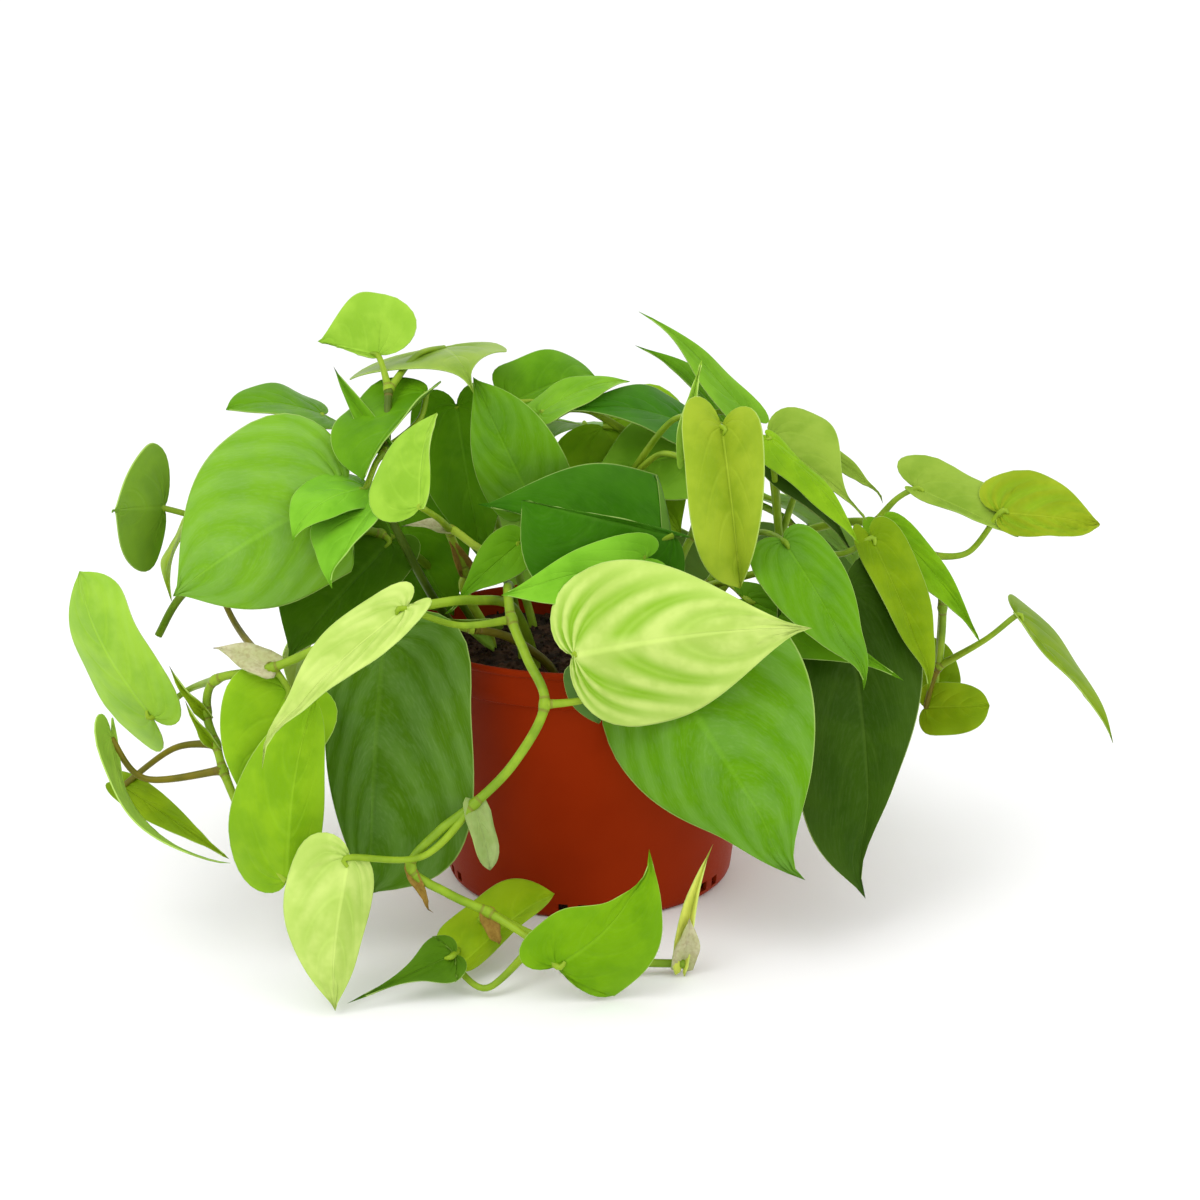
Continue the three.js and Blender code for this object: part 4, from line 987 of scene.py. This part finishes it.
# %% Name the leaf's colours and sizes
VEIN_GREEN = (0.62, 0.85, 0.22)
VALLEY_GREEN = (0.215, 0.430, 0.014)
# painted sheen: the lighter green of soft light on the blade between the veins
PAINTED_SHEEN_GREEN = (0.30, 0.50, 0.16)
DUST_GREEN = (0.34, 0.50, 0.20)
# painted back-light: the pale green of light shining through a blade's thin rim
BACKLIT_RIM_GREEN = (0.52, 0.70, 0.20)
UNDER_GREEN = (0.36, 0.48, 0.12)
FIBRE_BROWN = (0.20, 0.10, 0.02)
PATCH_SIZE = 14 * MM
SPECK_SIZE = 1.1 * MM
FIBRE_SIZE = 1.6 * MM
STREAKS_BESIDE = 110.0
STREAKS_ALONG = 12.0
print("the leaf's patches are", PATCH_SIZE / MM, "mm wide")

# %% Mix the leaf material
def leaf_material():
    material, tree, shader = new_material("leaf")
    place = object_place(tree)
    side, ray, under, band, dust_sheen_and_shade, paper = (
        carried(tree, key) for key in ("column", "ray", "under", "band", "dust_sheen_and_shade", "paper"))
    tone = carried(tree, "tone", "Color")
    column = side.scalar("ABSOLUTE")
    alive = 1.0 - paper

    # the veins: where a line's number is whole, and along the middle of the blade
    line = ray + (1.0 - column * column) * VEIN_BOW
    cycle = (line * LEAF_VEINS).scalar("FRACT")
    from_vein = (cycle - 0.5).scalar("ABSOLUTE") * 2.0
    vein = ramp(tree, from_vein, 0.75, 1.0) * ramp(tree, column, 0.9, 0.3)
    midrib = ramp(tree, column, 0.06, 0.01)
    # the rim: a thin pale band of painted back-light along the edge
    rim = ramp(tree, column, 0.983, 0.997)

    # softly uneven: deeper and lighter patches, and a lighter margin
    patches = noise(tree, place, PATCH_SIZE)
    # deep is the darker tone of the random patches, and further down also the painted shade along
    # the veins
    deep = mix(tree, 1.0, tone, (0.74, 0.82, 0.60), "MULTIPLY")
    light = mix(tree, 0.07, tone * 1.3, VEIN_GREEN)
    colour = mix(tree, ramp(tree, patches, 0.35, 0.66), deep, tone)
    colour = mix(tree, ramp(tree, column, 0.45, 1.0) * alive * 0.18, colour, light)

    # banded leaves are greener along the veins, less so towards the margin and the tip
    valley = ramp(tree, from_vein, 0.10, 0.85) * ramp(tree, column, 0.0, 0.2)
    fading = ramp(tree, column, 1.15, 0.5) * ramp(tree, line, 1.2, 0.75)
    broken = ramp(tree, patches, 0.25, 0.6) * 0.4 + 0.6
    colour = mix(tree, valley * fading * broken * band, colour, VALLEY_GREEN)

    # dusty leaves get a painted sheen between the veins, painted shade along them, and dusty
    # streaks that follow the veins
    streaks = noise(tree, together(tree, line * STREAKS_BESIDE, side * STREAKS_ALONG,
                                   patches * 6.0), 1.0)
    painted_sheen = ramp(tree, from_vein + patches * 2.2 - 1.1, 0.95, 0.1)
    # painted shade along the veins, then the painted sheen between them
    colour = mix(tree, (1.0 - painted_sheen) * dust_sheen_and_shade * 0.35, colour, deep)
    colour = mix(tree, painted_sheen * dust_sheen_and_shade * 0.26, colour, PAINTED_SHEEN_GREEN)
    dusty = ramp(tree, streaks, 0.40, 0.75)
    colour = mix(tree, dusty * (dust_sheen_and_shade * 0.11 + 0.03), colour, DUST_GREEN)

    # the veins are lighter, the rim gets a pale painted back-light for light through its
    # thin edge, the underside is duller, and sheaths have fibres
    colour = mix(tree, vein * alive * 0.12, colour, light)
    colour = mix(tree, midrib * alive * 0.3, colour, light)
    colour = mix(tree, rim * alive * 0.5, colour, BACKLIT_RIM_GREEN)
    dull = mix(tree, 0.18, colour, UNDER_GREEN)
    colour = mix(tree, under * alive, colour, dull)
    fibres = noise(tree, place, FIBRE_SIZE, 4.0)
    colour = mix(tree, ramp(tree, fibres, 0.4, 0.7) * paper * 0.6, colour, FIBRE_BROWN)
    tree.links.new(colour.socket, shader.inputs["Base Color"])

    roughness = ramp(tree, patches, 0.3, 0.75, 0.36, 0.46) + under * 0.12 + paper * 0.2
    tree.links.new(roughness.socket, shader.inputs["Roughness"])
    shader.inputs["Specular IOR Level"].default_value = 0.10
    shader.inputs["Specular Tint"].default_value = (0.85, 1.0, 0.40, 1)
    specks = noise(tree, place, SPECK_SIZE, 2.0)
    folds = (midrib * 0.6 + vein * 0.3) * alive
    relief = specks * 0.06 + streaks * 0.05 - folds + fibres * paper * 0.6
    bump(tree, shader, relief, 0.35 * MM)
    return material


leaf_look = leaf_material()
print("leaf material:", len(leaf_look.node_tree.nodes), "nodes")

# %% [markdown]
# ## Stalk, pot and soil materials
#
# Young stems are a waxy yellow green that browns a little at the joints. The pot is
# moulded plastic: one even colour, a satin sheen, and a very fine grain that only shows
# where light grazes it. Soil is dark peat with red-brown scraps of bark.

# %% Mix the stalk material
JOINT_BROWN = (0.20, 0.13, 0.03)
FLECK_BROWN = (0.16, 0.14, 0.02)
FLECK_SIZE = 0.9 * MM


def stalk_material():
    material, tree, shader = new_material("stalk")
    place = object_place(tree)
    tone = carried(tree, "tone", "Color")
    gap = carried(tree, "joint_gap")
    patches = noise(tree, place, PATCH_SIZE)
    flecks = noise(tree, place, FLECK_SIZE, 2.0)
    deep = mix(tree, 1.0, tone, (0.62, 0.70, 0.55), "MULTIPLY")
    colour = mix(tree, ramp(tree, patches, 0.35, 0.65), deep, tone)
    # a brown ring on both sides of a joint, 2.4 mm from its middle
    ring = ramp(tree, gap, 1.6 * MM, 2.3 * MM) * ramp(tree, gap, 3.2 * MM, 2.5 * MM)
    colour = mix(tree, ring * 0.5, colour, JOINT_BROWN)
    colour = mix(tree, ramp(tree, flecks, 0.62, 0.78) * 0.2, colour, FLECK_BROWN)
    tree.links.new(colour.socket, shader.inputs["Base Color"])
    shader.inputs["Roughness"].default_value = 0.42
    shader.inputs["Specular IOR Level"].default_value = 0.2
    bump(tree, shader, flecks * 0.4 - ring, 0.25 * MM)
    return material


stalk_look = stalk_material()
print("stalk material is ready")


# %% Mix the pot and soil materials
POT_REDS = ((0.242, 0.0175, 0.0015), (0.280, 0.022, 0.002))
PEAT_BROWNS = ((0.018, 0.010, 0.006), (0.075, 0.036, 0.018))
BARK_BROWN = (0.20, 0.085, 0.04)
CLOUD_SIZE = 45 * MM
GRAIN_SIZE = 0.7 * MM
CLUMP_SIZE = 6 * MM
SCRAP_SIZE = 1.2 * MM


def pot_material():
    material, tree, shader = new_material("pot_plastic")
    place = object_place(tree)
    cloud = noise(tree, place, CLOUD_SIZE, 2.0)
    grain = noise(tree, place, GRAIN_SIZE, 2.0)
    colour = mix(tree, ramp(tree, cloud, 0.3, 0.7), *POT_REDS)
    tree.links.new(colour.socket, shader.inputs["Base Color"])
    roughness = ramp(tree, grain, 0.3, 0.7, 0.36, 0.46)
    tree.links.new(roughness.socket, shader.inputs["Roughness"])
    shader.inputs["Specular IOR Level"].default_value = 0.08
    shader.inputs["Specular Tint"].default_value = (1.0, 0.35, 0.15, 1)
    bump(tree, shader, grain, 0.05 * MM)
    return material


def soil_material():
    material, tree, shader = new_material("soil_peat")
    place = object_place(tree)
    clumps = noise(tree, place, CLUMP_SIZE, 5.0)
    scraps = noise(tree, place, SCRAP_SIZE, 4.0, 0.7)
    colour = mix(tree, ramp(tree, clumps, 0.35, 0.65), *PEAT_BROWNS)
    colour = mix(tree, ramp(tree, scraps, 0.6, 0.75) * 0.6, colour, BARK_BROWN)
    tree.links.new(colour.socket, shader.inputs["Base Color"])
    shader.inputs["Roughness"].default_value = 0.95
    shader.inputs["Specular IOR Level"].default_value = 0.2
    bump(tree, shader, scraps + clumps, 1.2 * MM)
    return material


pot_look, soil_look = pot_material(), soil_material()
print("pot and soil materials are ready")

# %% [markdown]
# ## Growing the vines
#
# A modifier keeps the tree live while the pieces are designed. Here the finished shape is
# wanted, so each modifier is evaluated once, the result becomes a plain mesh, and the
# piece takes the place of its CAD solid.

# %% Write the helpers that finish a piece
def link(name, data):
    """Puts a new object with this mesh or light into the scene."""
    piece = bpy.data.objects.new(name, data)
    bpy.context.scene.collection.objects.link(piece)
    return piece


def apply_modifiers(piece):
    """Turns the evaluated shape into the piece's own plain mesh."""
    graph = bpy.context.evaluated_depsgraph_get()
    mesh = bpy.data.meshes.new_from_object(piece.evaluated_get(graph))
    piece.modifiers.clear()
    piece.data = mesh
    return piece


def run_tree(piece, tree, values):
    """Runs a Geometry Nodes tree on the piece, with its named inputs set first."""
    modifier = piece.modifiers.new(tree.name, "NODES")
    modifier.node_group = tree
    for socket in tree.interface.items_tree:
        if socket.in_out == "INPUT" and socket.name in values:
            modifier[socket.identifier] = values[socket.name]
    return apply_modifiers(piece)


def smooth_with(piece, material):
    """Gives a plain mesh its material and smooth shading."""
    piece.data.materials.append(material)
    piece.data.polygons.foreach_set("use_smooth", [True] * len(piece.data.polygons))


def settle(piece, node):
    """Makes the piece ride with the object and stand for its CAD solid."""
    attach(piece, "root")
    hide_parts(node)
    return piece


print("helpers are ready")

# %% Grow the blades
for vine, mesh in hearts.items():
    blades = link(f"{vine}_blades", mesh)
    run_tree(blades, blades_tree, {"Material": leaf_look})
    settle(blades, f"vine_{vine}")

# %% Grow the stems and stalks
for vine, mesh in paths.items():
    stalks = link(f"{vine}_stalks", mesh)
    run_tree(stalks, stalks_tree, {"Material": stalk_look})
    settle(stalks, f"vine_{vine}")

# %% [markdown]
# ## The pot
#
# Nursery pots are moulded, so their wall is a turned shape: a straight taper, a step out
# to the collar, and a small rolled lip. A lathe repeats one profile round the axis. The
# drain notches are cut afterwards, because they are the only part that isn't turned.

# %% Write a lathe
def turned(name, profile, sides, bumps=None):
    """Turns a profile of (radius, height) in millimetres about the axis."""
    places, rings = [], []
    for radius, height in profile:
        count = 1 if radius == 0 else sides
        rings.append(range(len(places), len(places) + count))
        for k in range(count):
            angle = 2 * math.pi * k / sides
            x, y = radius * math.cos(angle), radius * math.sin(angle)
            lift = bumps(x, y, height) if bumps else 0
            places.append((x * MM, y * MM, (height + lift) * MM))
    polygons = []
    for inner, outer in zip(rings, rings[1:]):
        for k in range(sides):
            after = (k + 1) % sides
            ring = [inner[k % len(inner)], inner[after % len(inner)],
                    outer[after % len(outer)], outer[k % len(outer)]]
            polygons.append(list(dict.fromkeys(ring)))
    mesh = bpy.data.meshes.new(name)
    mesh.from_pydata(places, [], [ring[::-1] for ring in polygons])
    return mesh


print("the lathe is ready")

# %% Turn the pot
POT_SIDES = 144
POT_PROFILE = (
    (0, 0), (30, 0), (57.6, 0), (59, 0.1), (60.2, 0.5), (61, 1.3), (61.5, 2.5), (61.75, 4.5),
    (67, 47), (72.6, 91.6), (72.8, 92.9), (73.0, 93.3), (73.5, 93.5), (74.3, 93.5),
    (74.7, 93.7), (74.9, 94.2), (75.05, 98), (75.15, 104.6), (75.3, 105.1), (75.7, 105.35),
    (76, 105.8), (76.05, 106.6), (75.9, 107.4), (75.5, 107.9), (74.9, 108.05), (74.4, 107.9),
    (74.1, 107.4), (73.5, 104.4), (73.3, 100), (71.6, 92.6), (71.2, 91.6), (65.5, 46),
    (60.2, 4), (59.6, 2.9), (58.4, 2.5), (30, 2.5), (0, 2.5),
)
pot = link("nursery_pot", turned("nursery_pot", POT_PROFILE, POT_SIDES))
print("turned pot:", len(pot.data.polygons), "faces")

# %% Cut the drain notches
NOTCH_PAIRS = 6
NOTCH_SIZE = (7.5, 4, 4)
NOTCH_SPACING = 8
NOTCH_HEIGHT = 5
FIRST_PAIR = 0.4
BASE_RADIUS = 61.5
SHARP_EDGE = 38


def notch_cutter():
    """Twelve small blocks round the foot, in pairs."""
    places, polygons = [], []
    for pair_number in range(NOTCH_PAIRS):
        for way in (-0.5, 0.5):
            turn = 2 * math.pi * (pair_number + FIRST_PAIR) / NOTCH_PAIRS
            turn += way * NOTCH_SPACING / BASE_RADIUS
            first = len(places)
            for corner in range(8):
                offset = [(corner >> axis & 1) - 0.5 for axis in range(3)]
                r = BASE_RADIUS + offset[0] * NOTCH_SIZE[0]
                s = offset[1] * NOTCH_SIZE[1]
                z = NOTCH_HEIGHT + offset[2] * NOTCH_SIZE[2]
                places.append(((r * math.cos(turn) - s * math.sin(turn)) * MM,
                               (r * math.sin(turn) + s * math.cos(turn)) * MM, z * MM))
            for ring in ((0, 2, 3, 1), (4, 5, 7, 6), (0, 1, 5, 4), (2, 6, 7, 3),
                         (0, 4, 6, 2), (1, 3, 7, 5)):
                polygons.append([first + corner for corner in ring])
    mesh = bpy.data.meshes.new("notches")
    mesh.from_pydata(places, [], polygons)
    return mesh


cutter = link("notches", notch_cutter())
cut = pot.modifiers.new("notches", "BOOLEAN")
cut.operation, cut.solver, cut.object = "DIFFERENCE", "EXACT", cutter
apply_modifiers(pot)
bpy.data.objects.remove(cutter)
pot.data.materials.clear()
smooth_with(pot, pot_look)
pot.data.set_sharp_from_angle(angle=math.radians(SHARP_EDGE))
settle(pot, "pot")
print("notched pot:", len(pot.data.polygons), "faces")

# %% [markdown]
# ## The soil
#
# Potting soil is crumbs more than it is a surface. A closed, gently uneven body fills the
# pot, and a second tree scatters crumbs over its top. The seed is fixed, so the same
# crumbs come back on every run.

# %% Fill the pot with soil
SOIL_TOP = 95
SOIL_RADIUS = 70.5
SOIL_RINGS = 24
SOIL_SIDES = 96


def soil_bumps(x, y, height):
    if height < SOIL_TOP - 0.1:
        return 0
    wide = math.sin(0.13 * x + 1) * math.cos(0.11 * y) + 0.5 * math.sin(0.31 * (x - y))
    fine = math.sin(0.9 * x + 0.4 * y) * math.sin(0.7 * y - 0.5 * x)
    return 1.6 * wide + 0.7 * fine


soil_profile = [(0, 2.9), (50, 2.9), (58.5, 3.2), (64.6, 48), (70.4, 90), (SOIL_RADIUS, 93)]
soil_profile += [(SOIL_RADIUS * ring / SOIL_RINGS, SOIL_TOP)
                 for ring in range(SOIL_RINGS, -1, -1)]
soil = link("potting_soil", turned("potting_soil", soil_profile, SOIL_SIDES, soil_bumps))
smooth_with(soil, soil_look)
settle(soil, "soil")
print("soil:", len(soil.data.polygons), "faces")


# %% Scatter crumbs over the soil
CRUMBS_FROM = SOIL_TOP - 5
SMALLEST = (0.4, 0.4, 0.3)
LARGEST = (1.3, 1.0, 0.8)
FULL_TURN = (6.28, 6.28, 6.28)


def crumbs_tree():
    tree, read, exit_node = new_tree("soil_crumbs", (
        ("Density", "NodeSocketFloat", 90000.0),
        ("Size", "NodeSocketFloat", 1.3 * MM),
        ("Seed", "NodeSocketInt", 4),
        ("Material", "NodeSocketMaterial", None),
    ))
    place = add(tree, "GeometryNodeInputPosition")
    parts = tree.nodes.new("ShaderNodeSeparateXYZ")
    tree.links.new(place.socket, parts.inputs[0])
    on_top = Wire(tree, parts.outputs[2]).scalar("GREATER_THAN", CRUMBS_FROM * MM)
    spread = tree.nodes.new("GeometryNodeDistributePointsOnFaces")
    for name, value in (("Mesh", read["Geometry"]), ("Selection", on_top),
                        ("Density", read["Density"]), ("Seed", read["Seed"])):
        feed(tree, spread.inputs[name], value)
    lump = add(tree, "GeometryNodeMeshIcoSphere", {"Radius": 1.0, "Subdivisions": 2})
    turn = tree.nodes.new("FunctionNodeRandomValue")
    turn.data_type = "FLOAT_VECTOR"
    turn.inputs[1].default_value = FULL_TURN
    stretch = tree.nodes.new("FunctionNodeRandomValue")
    stretch.data_type = "FLOAT_VECTOR"
    stretch.inputs[0].default_value = SMALLEST
    stretch.inputs[1].default_value = LARGEST
    for node, offset in ((turn, 1), (stretch, 2)):
        feed(tree, node.inputs["Seed"], read["Seed"] + float(offset))
    placed = tree.nodes.new("GeometryNodeInstanceOnPoints")
    tree.links.new(spread.outputs["Points"], placed.inputs["Points"])
    tree.links.new(lump.socket, placed.inputs["Instance"])
    tree.links.new(turn.outputs[0], placed.inputs["Rotation"])
    feed(tree, placed.inputs["Scale"], Wire(tree, stretch.outputs[0]) * read["Size"])
    real = add(tree, "GeometryNodeRealizeInstances", {"Geometry": Wire(tree, placed.outputs[0])})
    painted = add(tree, "GeometryNodeSetMaterial",
                  {"Geometry": real, "Material": read["Material"]})
    tree.links.new(painted.socket, exit_node.inputs[0])
    return tree


crumbs = link("soil_crumbs", soil.data.copy())
run_tree(crumbs, crumbs_tree(), {"Material": soil_look})
settle(crumbs, "soil")
print("crumbs:", len(crumbs.data.polygons), "faces")

# %% [markdown]
# ## The studio
#
# The picture was lit so evenly that the plant seems to float on white. A white room does
# that: one big soft light high on the left, a weaker one on the right, and light from all
# round. The floor is part of the studio and not of the plant.

# %% Lay the studio's floor
FLOOR_REACH = 40


def floor_material():
    material, tree, shader = new_material("studio_floor")
    shader.inputs["Base Color"].default_value = (0.95, 0.95, 0.95, 1)
    shader.inputs["Roughness"].default_value = 0.9
    return material


floor_mesh = bpy.data.meshes.new("studio_floor")
corners = [(x * FLOOR_REACH, y * FLOOR_REACH, 0) for x, y in ((-1, -1), (1, -1), (1, 1), (-1, 1))]
floor_mesh.from_pydata(corners, [], [(0, 1, 2, 3)])
floor_mesh.materials.append(floor_material())
floor = link("studio_floor", floor_mesh)
print("the floor reaches", FLOOR_REACH, "metres each way")

# %% Set the lights
LIT_PLACE = (0, 0, 0.1)


def soft_light(name, place, size, power):
    """A round soft light that looks at the middle of the plant."""
    light = bpy.data.lights.new(name, "AREA")
    light.shape, light.size, light.energy = "DISK", size, power
    lamp = link(name, light)
    lamp.location = place
    aim = Vector(LIT_PLACE) - Vector(place)
    lamp.rotation_euler = aim.to_track_quat("-Z", "Y").to_euler()


def studio_world():
    world = bpy.data.worlds.new("studio")
    world.use_nodes = True
    tree = world.node_tree
    backdrop = tree.nodes["Background"]
    backdrop.inputs["Color"].default_value = (1, 1, 1, 1)
    backdrop.inputs["Strength"].default_value = 1.1
    return world


scene = bpy.context.scene
scene.world = studio_world()
scene.view_settings.view_transform = "Standard"
soft_light("key", (-0.75, -0.9, 1.5), 1.1, 9)
soft_light("fill", (1.2, -0.8, 0.9), 1.2, 3)
print("the lights are set, and the room is white")
